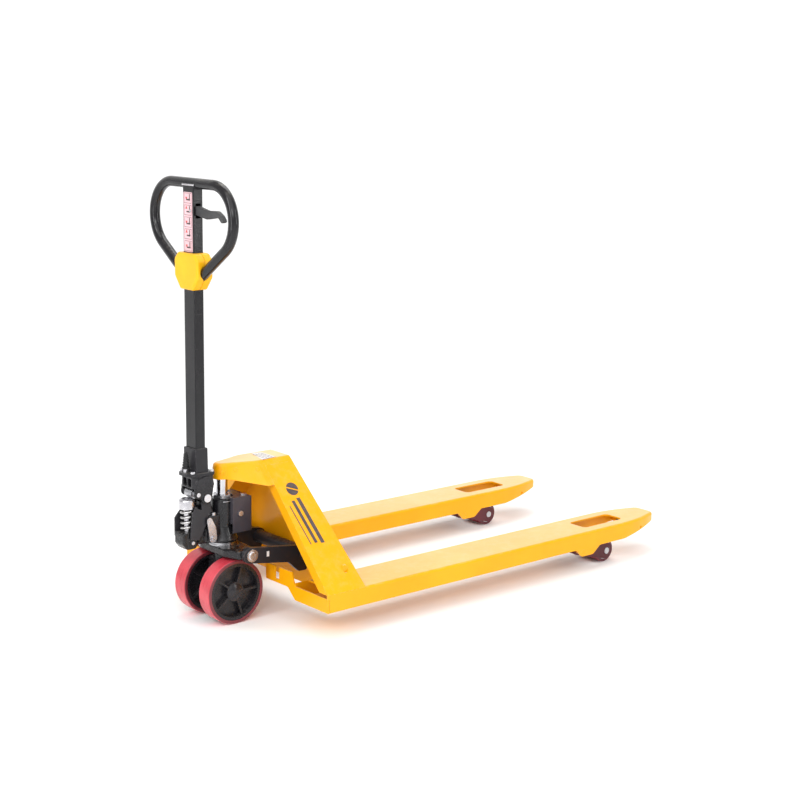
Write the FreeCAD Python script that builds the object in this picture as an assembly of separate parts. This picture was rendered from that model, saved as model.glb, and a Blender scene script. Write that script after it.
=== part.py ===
import FreeCAD, Part
import math
import os

"""Hand pallet truck: two forks on a bulkhead frame, lifted by a pump with a steering handle.

Millimetres, +Z up, +X from the steering column towards the fork tips, +Y to the left of someone
who stands at the handle and looks along the forks. The working frame below has its origin on the
floor under the steering axis; every solid is moved by ORIGIN_X as it is written, so the finished
part has its origin on the floor in the middle of its bounding box. The forks are drawn part-raised.
"""

V = FreeCAD.Vector

# ---- overall sizes ----
OVERALL_WIDTH = 685.0        # across both forks
FORK_WIDTH = 150.0
FORK_LENGTH = 1220.0         # from the load face of the bulkhead to the fork tips
FORK_DEPTH = 50.0            # depth of a fork's side walls
SHEET = 5.0                  # plate thickness of forks and bulkhead
LOWERED_HEIGHT = 83.0        # fork top above the floor, fully down
REST_LIFT = 39.0             # how far the forks are raised in the drawn pose
LIFT_STROKE = 115.0
HANDLE_TOP = 1199.0          # centre line of the handle's top bar

# ---- wheels ----
STEER_RADIUS = 90.0
STEER_WIDTH = 50.0
STEER_TREAD = 9.5
STEER_GAP = 70.0             # clear space between the two steer wheels
AXLE_TRAIL = 12.0            # the steer axle trails the steering axis by this much
AXLE_RADIUS = 12.5
LOAD_RADIUS = 37.0
LOAD_WIDTH = 84.0
LOAD_TREAD = 9.0
LOAD_AXLE_RADIUS = 10.0
RUNNING_FIT = 0.05           # radial clearance of a shaft in its bore
GAP = 0.3                    # clearance between faces that slide past each other

# ---- bulkhead ----
BULKHEAD_TOP = 438.0
BULKHEAD_FOOT_X = 235.0      # load face of the bulkhead at fork-top level
BULKHEAD_LEAN = 0.123        # the load face leans back by this much per unit of height
CREST_HALF = 45.5            # half width of the flat top plate
PANEL_FRONT_X = 105.0        # front edge of the sloping side panels
SKIRT_BACK_X = 84.0          # where the nose skirt meets the side panels
SKIRT_LOW_Z = 378.0
NOSE_RADIUS = 23.0
NOSE_FLARE = 5.0
NOSE_LOW_Z = 395.0
CREASE_RADIUS = 10.0
FLANGE = 28.0                # return flange along a side panel's front edge
HEEL_TOP_Z = 111.0
HEEL_RAISE = 30.0            # the plate between the heels stands this much higher
HEEL_RISE = 37.0             # and reaches this far above the heel's top edge
HEEL_FLOOR_END = 222.0
APRON_DROP = 56.0            # the load plate hangs this far down between the forks
HEEL_INNER_HALF = 60.0       # the wheels swing through the gap between the heel plates

# ---- lifting linkage ----
SHAFT_X = 198.0
SHAFT_Z = 170.0
SHAFT_RADIUS = 10.0
TUBE_RADIUS = 19.0
SEAT_PIN_X = 18.0
SEAT_PIN_Z = 196.0
SEAT_PIN_RADIUS = 8.0
ARM_INNER = 106.0            # inner face of a rocker arm, from the middle
ARM_THICK = 12.0
ARM_SLOT = 9.5               # the seat pin's free travel outwards along the arm
ARM_SLOT_BACK = 2.4          # and back towards the shaft
CRANK_LENGTH = 66.0
CRANK_LEAN = 6.0             # degrees, leaning forward of straight down
CRANK_PIN_RADIUS = 5.0
ROD_Y = 250.0
ROD_Z = 103.0
ROD_RADIUS = 8.0
ROD_BLOCK_THICK = 13.0
CRANK_THICK = 7.0

# ---- load roller bracket ----
ROLLER_BACK = 232.0          # the load roller, and what goes with it, back from the fork tips
ROLLER_ARM = 135.0
BRACKET_PIN_DROP = 60.0      # bracket pivot below the fork top
BRACKET_PIN_RADIUS = 8.0
BRACKET_CRANK = 44.9         # bracket pivot to push rod pin
BRACKET_CRANK_LEAN = 5.0     # degrees, leaning back
BRACKET_THICK = 6.5
LUG_START_BACK = 392.0           # the fork's side walls drop here to hold the bracket pivot
LUG_END_BACK = 289.0
LUG_DROP = 24.0
WINDOW_START_BACK = 317.0
WINDOW_END_BACK = 145.0
WINDOW_WIDTH = 70.0
TOE_BACK = 190.0               # where a fork starts to taper
TOE_HALF = 42.0
TOE_RUN = 15.0
TOE_BOTTOM_RISE = 26.0
ENTRY_BACK = 90.0
ENTRY_RADIUS = 15.0

# ---- pump and steering ----
SEAT_BOTTOM = 186.0
SEAT_TOP = 208.0
COLUMN_RADIUS = 24.0
THRUST_OUTER = 36.0
THRUST_HEIGHT = 10.0
CYLINDER_RADIUS = 31.0
CYLINDER_TOP = 340.0
RAM_RADIUS = 16.0
PISTON_X = -113.0
PISTON_RADIUS = 9.0
PISTON_CAP_RADIUS = 22.0
PISTON_CAP_TOP = 353.7
PISTON_BLOCK_TOP = 262.0
SPRING_RADIUS = 15.8
SPRING_WIRE = 7.0
SPRING_TURNS = 5
VALVE_X = -52.0              # pivot of the release valve's lever
VALVE_Z = 238.0
PIVOT_X = -72.0
PIVOT_Z = 355.0
PIVOT_RADIUS = 8.0
PRESS_ARM_X = 26.0
PRESS_ARM_Z = 12.0
PRESS_RADIUS = 13.0

# ---- handle ----
POLE_X = -83.0
POLE_WIDTH = 50.0
POLE_DEPTH = 30.0
POLE_WALL = 3.0
FOOT_Z = 418.0               # top of the handle casting
FOOT_FLANGE = 8.0
LOOP_RADIUS = 14.0           # tube radius
LOOP_HALF = 187.0            # half width of the loop, on the tube's centre line
LOOP_SHOULDER = 90.0         # centre-line radius of the two upper bends
LOOP_TURN = 95.0             # centre-line radius of the two lower bends
LOOP_LEG_ANGLE = 34.5        # slope of the legs where they enter the hub
HUB_HALF = 56.0
HUB_TOP = 1018.0
HUB_BOTTOM = 920.0
HUB_DEPTH = 50.0
HUB_WALL = 3.0
LEVER_PIVOT_Y = -12.0
LEVER_PIVOT_Z = 1128.0
LEVER_REACH = 140.0
LEVER_DROOP = 14.0

# ---- worked out from the above ----
FORK_TOP = LOWERED_HEIGHT + REST_LIFT
FORK_BOTTOM = FORK_TOP - FORK_DEPTH
TIP_X = BULKHEAD_FOOT_X + FORK_LENGTH
ROLLER_X = TIP_X - ROLLER_BACK
LUG_START = TIP_X - LUG_START_BACK
LUG_END = TIP_X - LUG_END_BACK
WINDOW_START = TIP_X - WINDOW_START_BACK
WINDOW_END = TIP_X - WINDOW_END_BACK
TOE_X = TIP_X - TOE_BACK
ENTRY_X = TIP_X - ENTRY_BACK
HALF_WIDTH = OVERALL_WIDTH / 2
FORK_Y = HALF_WIDTH - FORK_WIDTH / 2
PANEL_SLOPE = (HALF_WIDTH - CREST_HALF) / (BULKHEAD_TOP - FORK_TOP)
PANEL_INSET = SHEET * math.hypot(1, PANEL_SLOPE)
BRACKET_PIN_Z = FORK_TOP - BRACKET_PIN_DROP
BRACKET_PIN_X = ROLLER_X - math.sqrt(ROLLER_ARM ** 2 - (BRACKET_PIN_Z - LOAD_RADIUS) ** 2)
LEAN = math.radians(BRACKET_CRANK_LEAN)
ROD_PIN_X = BRACKET_PIN_X - BRACKET_CRANK * math.sin(LEAN)
ROD_PIN_Z = BRACKET_PIN_Z + BRACKET_CRANK * math.cos(LEAN)
CRANK_PIN_X = SHAFT_X - CRANK_LENGTH * math.sin(math.radians(CRANK_LEAN))
CRANK_PIN_Z = SHAFT_Z - CRANK_LENGTH * math.cos(math.radians(CRANK_LEAN))
ROD_LOCAL_Y = ROD_Y - FORK_Y
AXLE_X = -AXLE_TRAIL
WHEEL_INNER = STEER_GAP / 2
WHEEL_OUTER = WHEEL_INNER + STEER_WIDTH
PISTON_BLOCK_FRONT = PISTON_X - 27.0
ORIGIN_X = (PISTON_BLOCK_FRONT + TIP_X) / 2


# ---- shape helpers ----
def box(x0, x1, y0, y1, z0, z1):
    return Part.makeBox(x1 - x0, y1 - y0, z1 - z0, V(x0, y0, z0))


def rod_x(radius, x0, x1, y, z):
    return Part.makeCylinder(radius, x1 - x0, V(x0, y, z), V(1, 0, 0))


def rod_y(radius, y0, y1, x, z):
    return Part.makeCylinder(radius, y1 - y0, V(x, y0, z), V(0, 1, 0))


def rod_z(radius, z0, z1, x=0.0, y=0.0):
    return Part.makeCylinder(radius, z1 - z0, V(x, y, z0))


def join(shapes):
    """One clean solid from shapes that touch or overlap."""
    whole = shapes[0].multiFuse(shapes[1:])
    return whole.removeSplitter()


def mirrored(shape):
    return shape.mirror(V(0, 0, 0), V(0, 1, 0))


def outline(corners, place):
    """Closed wire through (a, b, radius) corners; place(a, b) gives the point in space."""
    stations = []
    for index, (a, b, radius) in enumerate(corners):
        here = V(a, b, 0)
        before = corners[index - 1]
        after = corners[(index + 1) % len(corners)]
        back = (V(before[0], before[1], 0) - here).normalize()
        ahead = (V(after[0], after[1], 0) - here).normalize()
        if radius == 0:
            stations.append((here, None, here))
            continue
        half = back.getAngle(ahead) / 2
        run = radius / math.tan(half)
        middle = (back + ahead).normalize()
        crown = here + middle * (radius / math.sin(half) - radius)
        stations.append((here + back * run, crown, here + ahead * run))
    edges = []
    for index, (start, crown, end) in enumerate(stations):
        if crown is not None:
            edges.append(Part.Arc(*[place(p.x, p.y) for p in (start, crown, end)]).toShape())
        following = stations[(index + 1) % len(stations)][0]
        if (following - end).Length > 1e-6:
            edges.append(Part.makeLine(place(end.x, end.y), place(following.x, following.y)))
    return Part.Wire(edges)


def plate_xz(corners, y0, y1):
    wire = outline(corners, lambda a, b: V(a, y0, b))
    return Part.Face(wire).extrude(V(0, y1 - y0, 0))


def plate_yz(corners, x0, x1):
    wire = outline(corners, lambda a, b: V(x0, a, b))
    return Part.Face(wire).extrude(V(x1 - x0, 0, 0))


def plate_xy(corners, z0, z1):
    wire = outline(corners, lambda a, b: V(a, b, z0))
    return Part.Face(wire).extrude(V(0, 0, z1 - z0))


def strap(first, first_radius, second, second_radius, y0, y1):
    """Flat link in the XZ plane around two circles, joined by their outer tangents."""
    along = V(second[0] - first[0], 0, second[1] - first[1])
    heading = math.atan2(along.z, along.x)
    spread = math.acos((first_radius - second_radius) / along.Length)

    def rim(centre, radius, angle):
        return V(centre[0] + radius * math.cos(angle), y0, centre[1] + radius * math.sin(angle))

    upper = heading + spread
    lower = heading - spread
    edges = [
        Part.makeLine(rim(first, first_radius, lower), rim(second, second_radius, lower)),
        Part.Arc(rim(second, second_radius, lower), rim(second, second_radius, heading),
                 rim(second, second_radius, upper)).toShape(),
        Part.makeLine(rim(second, second_radius, upper), rim(first, first_radius, upper)),
        Part.Arc(rim(first, first_radius, upper), rim(first, first_radius, heading + math.pi),
                 rim(first, first_radius, lower)).toShape(),
    ]
    return Part.Face(Part.Wire(edges)).extrude(V(0, y1 - y0, 0))


def ring_y(outer, inner, y0, y1, x, z):
    return rod_y(outer, y0, y1, x, z).cut(rod_y(inner, y0 - 1, y1 + 1, x, z))


def ring_z(outer, inner, z0, z1, x=0.0, y=0.0):
    return rod_z(outer, z0, z1, x, y).cut(rod_z(inner, z0 - 1, z1 + 1, x, y))


def edges_where(shape, test):
    return [edge for edge in shape.Edges if test(edge)]


def hex_head(radius, z0, z1, x, y):
    points = []
    for index in range(6):
        angle = math.radians(60 * index)
        points.append((x + radius * math.cos(angle), y + radius * math.sin(angle), 0))
    return plate_xy(points, z0, z1)


# ---- forks ----
def fork_plan(inset, z0, z1):
    """Prism over a fork's plan: straight sides, long tapering arcs and a rounded tip."""
    half = FORK_WIDTH / 2 - inset
    run = TIP_X - inset - TOE_RUN - TOE_X
    drop = half - (TOE_HALF - inset)
    radius = (run ** 2 + drop ** 2) / (2 * drop)
    turn = math.asin(run / radius)
    middle_x = TOE_X + radius * math.sin(turn / 2)
    middle_y = half - radius * (1 - math.cos(turn / 2))
    tip_radius = TOE_RUN / (1 - math.sin(turn))
    side_end = V(TOE_X + run, TOE_HALF - inset, z0)
    centre = side_end - V(tip_radius * math.sin(turn), tip_radius * math.cos(turn), 0)
    bend = (turn + math.pi / 2) / 2
    crown = centre + V(tip_radius * math.sin(bend), tip_radius * math.cos(bend), 0)
    tip = V(centre.x + tip_radius, centre.y, z0)

    def flip(point):
        return V(point.x, -point.y, point.z)

    start = V(PANEL_FRONT_X, half, z0)
    toe = V(TOE_X, half, z0)
    middle = V(middle_x, middle_y, z0)
    wire = Part.Wire([
        Part.makeLine(start, toe),
        Part.Arc(toe, middle, side_end).toShape(),
        Part.Arc(side_end, crown, tip).toShape(),
        Part.makeLine(tip, flip(tip)),
        Part.Arc(flip(tip), flip(crown), flip(side_end)).toShape(),
        Part.Arc(flip(side_end), flip(middle), flip(toe)).toShape(),
        Part.makeLine(flip(toe), flip(start)),
        Part.makeLine(flip(start), start),
    ])
    return Part.Face(wire).extrude(V(0, 0, z1 - z0))


def fork_left():
    """Left fork: an upside-down channel with pin lugs, a roller window and a closed toe."""
    half = FORK_WIDTH / 2
    lug_z = FORK_BOTTOM - LUG_DROP
    side = [
        (PANEL_FRONT_X, FORK_BOTTOM, 0), (LUG_START, FORK_BOTTOM, 8), (LUG_START + 21, lug_z, 14),
        (LUG_END - 30, lug_z, 20), (LUG_END, FORK_BOTTOM, 10), (TOE_X + 15, FORK_BOTTOM, 60),
        (TIP_X + 1, FORK_BOTTOM + TOE_BOTTOM_RISE, 0), (TIP_X + 1, FORK_TOP, 0),
        (PANEL_FRONT_X, FORK_TOP, 0),
    ]
    body = fork_plan(0, lug_z - 5, FORK_TOP).common(plate_xz(side, -half - 1, half + 1))
    top_edges = edges_where(body, lambda e: e.BoundBox.ZMin > FORK_TOP - 0.01
                            and e.BoundBox.XMax > PANEL_FRONT_X + 1)
    body = body.makeFillet(8.0, top_edges)
    corner = box(PANEL_FRONT_X, BULKHEAD_FOOT_X, half - 8, half, FORK_TOP - 8, FORK_TOP)
    body = body.fuse(corner)
    body = body.cut(fork_plan(SHEET, lug_z - 10, FORK_TOP - SHEET))
    body = body.cut(box(PANEL_FRONT_X - 1, PANEL_FRONT_X + SHEET + 1, -half - 1, half + 1,
                        FORK_BOTTOM - 1, HEEL_TOP_Z))
    body = body.cut(box(PANEL_FRONT_X - 1, PANEL_FRONT_X + 45, SHEET - half, half - SHEET,
                        FORK_TOP - SHEET - 1, FORK_TOP + 1))
    body = body.cut(box(PANEL_FRONT_X, BULKHEAD_FOOT_X + 1, ROD_LOCAL_Y - 18, ROD_LOCAL_Y + 18,
                        FORK_TOP - SHEET - 1, FORK_TOP + 1))
    groove = box(BULKHEAD_FOOT_X, BULKHEAD_FOOT_X + 2, -half - 1, half + 1,
                 FORK_TOP - GAP, FORK_TOP + 1)
    body = body.cut(groove)
    floor = box(PANEL_FRONT_X + SHEET, HEEL_FLOOR_END, SHEET - half, half - SHEET,
                FORK_BOTTOM, FORK_BOTTOM + SHEET)
    body = body.fuse(floor)
    window = [(WINDOW_START, -WINDOW_WIDTH / 2, 14), (WINDOW_END, -WINDOW_WIDTH / 2, 14),
              (WINDOW_END, WINDOW_WIDTH / 2, 14), (WINDOW_START, WINDOW_WIDTH / 2, 14)]
    body = body.cut(plate_xy(window, FORK_TOP - SHEET - 1, FORK_TOP + 1))
    body = body.cut(rod_y(BRACKET_PIN_RADIUS, -half - 1, half + 1, BRACKET_PIN_X, BRACKET_PIN_Z))
    body = body.cut(rod_y(5.0, -half, half, ENTRY_X, entry_z()))
    body.translate(V(0, FORK_Y, 0))
    return body.removeSplitter()


def entry_z():
    """Height of an entry roller's axle: it stands a little proud of the rising toe."""
    rise = TOE_BOTTOM_RISE * (ENTRY_X - TOE_X) / (TIP_X - TOE_X)
    return FORK_BOTTOM + rise + ENTRY_RADIUS - 9.0


def entry_roller_left():
    roller = ring_y(ENTRY_RADIUS, 5 + RUNNING_FIT, -28, 28, ENTRY_X, entry_z())
    roller.translate(V(0, FORK_Y, 0))
    return roller


def fork_pins():
    """Pins held in the forks' side walls: one per load bracket and one per entry roller."""
    half = FORK_WIDTH / 2
    solids = []
    pivot = rod_y(BRACKET_PIN_RADIUS, -half + 0.5, half - 0.5, BRACKET_PIN_X, BRACKET_PIN_Z)
    entry = rod_y(5.0, -60, 60, ENTRY_X, entry_z())
    for pin in (pivot, entry):
        pin.translate(V(0, FORK_Y, 0))
        solids += [pin, mirrored(pin)]
    return Part.makeCompound(solids)


# ---- bulkhead ----
def bulkhead_section(x, half_top, half_low, z_low, thickness):
    """Closed wire across the bulkhead at x, set in by a plate thickness from the outside."""
    slope = (half_low - half_top) / (BULKHEAD_TOP - z_low)
    inset = thickness * math.hypot(1, slope)
    top = BULKHEAD_TOP - thickness
    below = z_low - (1 if thickness else 0)
    half_at_top = half_top + slope * thickness - inset
    half_at_low = half_top + slope * (BULKHEAD_TOP - below) - inset
    radius = CREASE_RADIUS - thickness
    corners = [(-half_at_low, below, 0), (-half_at_top, top, radius),
               (half_at_top, top, radius), (half_at_low, below, 0)]
    return outline(corners, lambda a, b: V(x, a, b))


def bulkhead_envelope(thickness):
    """Outer (thickness 0) or inner shape of nose, skirt and bulkhead, as one solid."""
    low = NOSE_LOW_Z - (1 if thickness else 0)
    nose = Part.makeCone(NOSE_RADIUS + NOSE_FLARE - thickness, NOSE_RADIUS - thickness,
                         BULKHEAD_TOP - thickness - low, V(0, 0, low))
    rim = edges_where(nose, lambda e: e.BoundBox.ZMin > BULKHEAD_TOP - thickness - 0.01
                      and e.BoundBox.XLength > 1)
    nose = nose.makeFillet(CREASE_RADIUS - thickness, rim)
    nose = nose.common(box(-100, 0, -100, 100, 0, 1000))
    skirt_half = CREST_HALF + PANEL_SLOPE * (BULKHEAD_TOP - SKIRT_LOW_Z)
    front = bulkhead_section(0, NOSE_RADIUS, NOSE_RADIUS + NOSE_FLARE, NOSE_LOW_Z, thickness)
    back = bulkhead_section(SKIRT_BACK_X, CREST_HALF, skirt_half, SKIRT_LOW_Z, thickness)
    skirt = Part.makeLoft([front, back], True, True)
    collar = Part.Face(back).extrude(V(PANEL_FRONT_X - SKIRT_BACK_X, 0, 0))
    wide = bulkhead_section(PANEL_FRONT_X, CREST_HALF, HALF_WIDTH, FORK_TOP, thickness)
    house = Part.Face(wide).extrude(V(BULKHEAD_FOOT_X - PANEL_FRONT_X + 1, 0, 0))
    return join([nose, skirt, collar, house])


def load_face_x(z):
    return BULKHEAD_FOOT_X - BULKHEAD_LEAN * (z - FORK_TOP)


def leaning_slab(depth):
    """Everything between the load face and a parallel plane this far in front of it."""
    low = FORK_TOP
    high = BULKHEAD_TOP + 10
    corners = [(load_face_x(low), low, 0), (load_face_x(high), high, 0),
               (load_face_x(high) - depth, high, 0), (load_face_x(low) - depth, low, 0)]
    return plate_xz(corners, -HALF_WIDTH - 1, HALF_WIDTH + 1)


def bulkhead_shell():
    shell = bulkhead_envelope(0).cut(bulkhead_envelope(SHEET))
    shell = shell.common(leaning_slab(400).fuse(box(-60, PANEL_FRONT_X, -200, 200, 300, 500)))
    flange_line = []
    for inset in (SHEET * 0.9, FLANGE):
        shift = inset * math.hypot(1, PANEL_SLOPE)
        for z in (FORK_TOP, SKIRT_LOW_Z - 4):
            flange_line.append((HALF_WIDTH - PANEL_SLOPE * (z - FORK_TOP) - shift, z, 0))
    corners = [flange_line[0], flange_line[1], flange_line[3], flange_line[2]]
    flange = plate_yz(corners, PANEL_FRONT_X, PANEL_FRONT_X + SHEET)
    shell = join([shell, flange, mirrored(flange)])
    return shell.cut(rod_y(SHAFT_RADIUS, -HALF_WIDTH, HALF_WIDTH, SHAFT_X, SHAFT_Z))


def bulkhead_parts():
    """The nose cap, the two sloping side panels and the load plate between them."""
    seam_z = BULKHEAD_TOP - 14
    shell = bulkhead_shell()
    above = box(PANEL_FRONT_X, 300, -200, 200, seam_z, 500)
    cap_zone = box(-60, PANEL_FRONT_X, -200, 200, SKIRT_LOW_Z - 3, 500).fuse(above)
    cap = shell.common(cap_zone)
    panel = shell.common(box(PANEL_FRONT_X, 300, 1, 400, FORK_TOP, seam_z))
    inside = bulkhead_envelope(SHEET)
    plate = leaning_slab(SHEET).common(inside).common(box(0, 300, -400, 400, FORK_TOP, 500))
    gap_half = HALF_WIDTH - FORK_WIDTH
    foot_in = BULKHEAD_FOOT_X - SHEET * math.hypot(1, BULKHEAD_LEAN)
    apron = box(foot_in, BULKHEAD_FOOT_X, -gap_half, gap_half, FORK_TOP - APRON_DROP, FORK_TOP)
    plate = join([plate, apron])
    return {
        "nose_cap": cap,
        "side_panel_left": panel,
        "side_panel_right": mirrored(panel),
        "load_plate": plate,
    }


def heel_plate_left():
    """Plate across the open end of a fork, carried inwards, with a slot for the rocker arm."""
    inner = HALF_WIDTH - FORK_WIDTH
    low = FORK_BOTTOM + HEEL_RAISE
    arm_out = ARM_INNER + ARM_THICK + 4
    arm_in = ARM_INNER - 4
    high = HEEL_TOP_Z + HEEL_RISE
    corners = [
        (HALF_WIDTH, FORK_BOTTOM, 0), (HALF_WIDTH, HEEL_TOP_Z, 0), (inner, HEEL_TOP_Z, 0),
        (inner - 14, high, 4), (arm_out, high, 4), (arm_out, low + 10, 3), (arm_in, low + 10, 3),
        (arm_in, high, 4), (HEEL_INNER_HALF, high, 4), (HEEL_INNER_HALF, low, 4),
        (inner - 30, low, 12), (inner + 3, FORK_BOTTOM, 6),
    ]
    return plate_yz(corners, PANEL_FRONT_X, PANEL_FRONT_X + SHEET)


def rocker_shaft():
    reach = HALF_WIDTH - PANEL_SLOPE * (SHAFT_Z - FORK_TOP) + 1.5
    return rod_y(SHAFT_RADIUS, -reach, reach, SHAFT_X, SHAFT_Z)


# ---- rocker and push rods ----
def torsion_tube():
    """Cross tube with a pair of cranks near each end that straddle a push rod."""
    outer = ROD_Y + ROD_BLOCK_THICK / 2 + 0.5 + CRANK_THICK
    solids = [rod_y(TUBE_RADIUS, -outer, outer, SHAFT_X, SHAFT_Z)]
    for offset in (-ROD_BLOCK_THICK / 2 - 0.5 - CRANK_THICK, ROD_BLOCK_THICK / 2 + 0.5):
        start = ROD_Y + offset
        crank = strap((SHAFT_X, SHAFT_Z), TUBE_RADIUS + 3, (CRANK_PIN_X, CRANK_PIN_Z), 10.5,
                      start, start + CRANK_THICK)
        solids += [crank, mirrored(crank)]
    tube = join(solids)
    tube = tube.cut(rod_y(SHAFT_RADIUS + RUNNING_FIT, -outer - 1, outer + 1, SHAFT_X, SHAFT_Z))
    return tube.cut(rod_y(CRANK_PIN_RADIUS, -outer - 1, outer + 1, CRANK_PIN_X, CRANK_PIN_Z))


def crank_pins():
    outer = ROD_Y + ROD_BLOCK_THICK / 2 + 0.5 + CRANK_THICK
    inner = ROD_Y - ROD_BLOCK_THICK / 2 - 0.5 - CRANK_THICK
    pin = rod_y(CRANK_PIN_RADIUS, inner, outer, CRANK_PIN_X, CRANK_PIN_Z)
    return Part.makeCompound([pin, mirrored(pin)])


def rocker_arm_left():
    """Arm from the seat pin to the torsion tube; its eye is slotted along the arm."""
    y0 = ARM_INNER
    y1 = ARM_INNER + ARM_THICK
    reach = V(SEAT_PIN_X - SHAFT_X, 0, SEAT_PIN_Z - SHAFT_Z)
    outward = V(reach).normalize()
    eye = (SEAT_PIN_X + outward.x * ARM_SLOT / 2, SEAT_PIN_Z + outward.z * ARM_SLOT / 2)
    bar = strap(eye, 22.0, (SHAFT_X, SHAFT_Z), TUBE_RADIUS + 4.5, y0, y1)
    lobe = plate_xz([(SHAFT_X - 60, SHAFT_Z - 12, 0), (SHAFT_X - 22, SHAFT_Z - 48, 8),
                     (SHAFT_X + 6, SHAFT_Z - 48, 8), (SHAFT_X + 18, SHAFT_Z - 4, 4),
                     (SHAFT_X - 28, SHAFT_Z + 12, 0)], y0, y1)
    arm = join([bar, lobe])
    slot_radius = SEAT_PIN_RADIUS + 2.0
    far = (SEAT_PIN_X + outward.x * ARM_SLOT, SEAT_PIN_Z + outward.z * ARM_SLOT)
    near = (SEAT_PIN_X - outward.x * ARM_SLOT_BACK, SEAT_PIN_Z - outward.z * ARM_SLOT_BACK)
    slot = strap(near, slot_radius, far, slot_radius, y0 - 1, y1 + 1)
    return arm.cut(slot).cut(rod_y(TUBE_RADIUS, y0 - 1, y1 + 1, SHAFT_X, SHAFT_Z))


def rod_block(x, pin_low, pin_high, pin_radius, z0, z1):
    """End block of a push rod with an upright slot for a pin that rises and falls."""
    half = ROD_BLOCK_THICK / 2
    block = plate_xz([(x - 14, z0, 4), (x + 14, z0, 4), (x + 14, z1, 4), (x - 14, z1, 4)],
                     ROD_Y - half, ROD_Y + half)
    side = pin_radius + 0.7
    slot = strap((x, pin_low), side, (x, pin_high), side, ROD_Y - half - 1, ROD_Y + half + 1)
    return block.cut(slot)


def push_rod_left():
    rear = rod_block(CRANK_PIN_X, CRANK_PIN_Z - 1.0, CRANK_PIN_Z + 3.5, CRANK_PIN_RADIUS,
                     ROD_Z - 12, FORK_TOP - SHEET - 1)
    front = rod_block(ROD_PIN_X, ROD_PIN_Z - 6.6, ROD_PIN_Z + 0.6, CRANK_PIN_RADIUS,
                      ROD_Z - 14, FORK_TOP - SHEET - 1)
    bar = rod_x(ROD_RADIUS, CRANK_PIN_X + 13, ROD_PIN_X - 13, ROD_Y, ROD_Z)
    bar = bar.common(box(0, 2000, ROD_Y - 6.5, ROD_Y + 6.5, 0, 500))
    return join([rear, front, bar])


# ---- load rollers ----
def roller_bracket_left():
    """Twin-plate bracket: pivots in the fork's lugs, holds the roller, is pushed by the rod."""
    pin = (BRACKET_PIN_X, BRACKET_PIN_Z)
    axle = (ROLLER_X, LOAD_RADIUS)
    rod = (ROD_PIN_X, ROD_PIN_Z)
    inner = LOAD_WIDTH / 2 + 2.5
    solids = []
    for start in (inner, -inner - BRACKET_THICK):
        end = start + BRACKET_THICK
        solids.append(strap(pin, 15.0, axle, 25.0, start, end))
        solids.append(strap(pin, 15.0, rod, 9.0, start, end))
    boss = rod_y(14.0, -inner - 1, inner + 1, *pin)
    tie = box(pin[0] + 12, pin[0] + 20, -inner - 1, inner + 1, pin[1] - 14, pin[1] + 2)
    bracket = join(solids + [boss, tie])
    reach = inner + BRACKET_THICK + 1
    bracket = bracket.cut(rod_y(BRACKET_PIN_RADIUS + RUNNING_FIT, -reach, reach, *pin))
    bracket = bracket.cut(rod_y(LOAD_AXLE_RADIUS, -reach, reach, *axle))
    bracket = bracket.cut(rod_y(CRANK_PIN_RADIUS, -reach, reach, *rod))
    bracket.translate(V(0, FORK_Y, 0))
    return bracket


def bracket_pins_left():
    """The roller's axle and the push rod's pin, both held by the bracket."""
    reach = LOAD_WIDTH / 2 + 2.5 + BRACKET_THICK
    axle = rod_y(LOAD_AXLE_RADIUS, -reach - 1.5, reach + 1.5, ROLLER_X, LOAD_RADIUS)
    pin = rod_y(CRANK_PIN_RADIUS, -reach, reach, ROD_PIN_X, ROD_PIN_Z)
    for solid in (axle, pin):
        solid.translate(V(0, FORK_Y, 0))
    return Part.makeCompound([axle, pin])


def load_roller_hub_left():
    """Steel core with a ball bearing pressed into each end, drawn as plain rings."""
    half = LOAD_WIDTH / 2
    bearing_radius = 17.0
    core = ring_y(LOAD_RADIUS - LOAD_TREAD, bearing_radius, -half, half, ROLLER_X, LOAD_RADIUS)
    solids = [core]
    for start in (-half + 1, half - 13):
        solids.append(ring_y(bearing_radius, LOAD_AXLE_RADIUS + RUNNING_FIT, start, start + 12,
                             ROLLER_X, LOAD_RADIUS))
    for solid in solids:
        solid.translate(V(0, FORK_Y, 0))
    return Part.makeCompound(solids)


def load_roller_tread_left():
    half = LOAD_WIDTH / 2
    tread = rod_y(LOAD_RADIUS, -half, half, ROLLER_X, LOAD_RADIUS)
    tread = tread.makeFillet(2.5, edges_where(tread, lambda e: e.BoundBox.YLength < 0.01))
    tread = tread.cut(rod_y(LOAD_RADIUS - LOAD_TREAD, -half - 1, half + 1, ROLLER_X, LOAD_RADIUS))
    tread.translate(V(0, FORK_Y, 0))
    return tread


# ---- pump seat ----
def pump_seat():
    """Cross plate that carries the thrust bearing and, at its ends, the two rocker pins."""
    end = ARM_INNER - 1
    corners = [(-34, -58, 14), (-16, -end, 8), (38, -end, 8), (50, -44, 14),
               (50, 44, 14), (38, end, 8), (-16, end, 8), (-34, 58, 14)]
    seat = plate_xy(corners, SEAT_BOTTOM, SEAT_TOP)
    ears = [rod_y(15.0, y, y + 20, SEAT_PIN_X, SEAT_PIN_Z) for y in (-end, end - 20)]
    seat = join([seat] + ears)
    seat = seat.cut(rod_z(COLUMN_RADIUS + RUNNING_FIT, SEAT_BOTTOM - 1, SEAT_TOP + 1))
    return seat.cut(rod_y(SEAT_PIN_RADIUS, -end - 1, end + 1, SEAT_PIN_X, SEAT_PIN_Z)
                    .cut(rod_y(50, -end + 28, end - 28, SEAT_PIN_X, SEAT_PIN_Z)))


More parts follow.
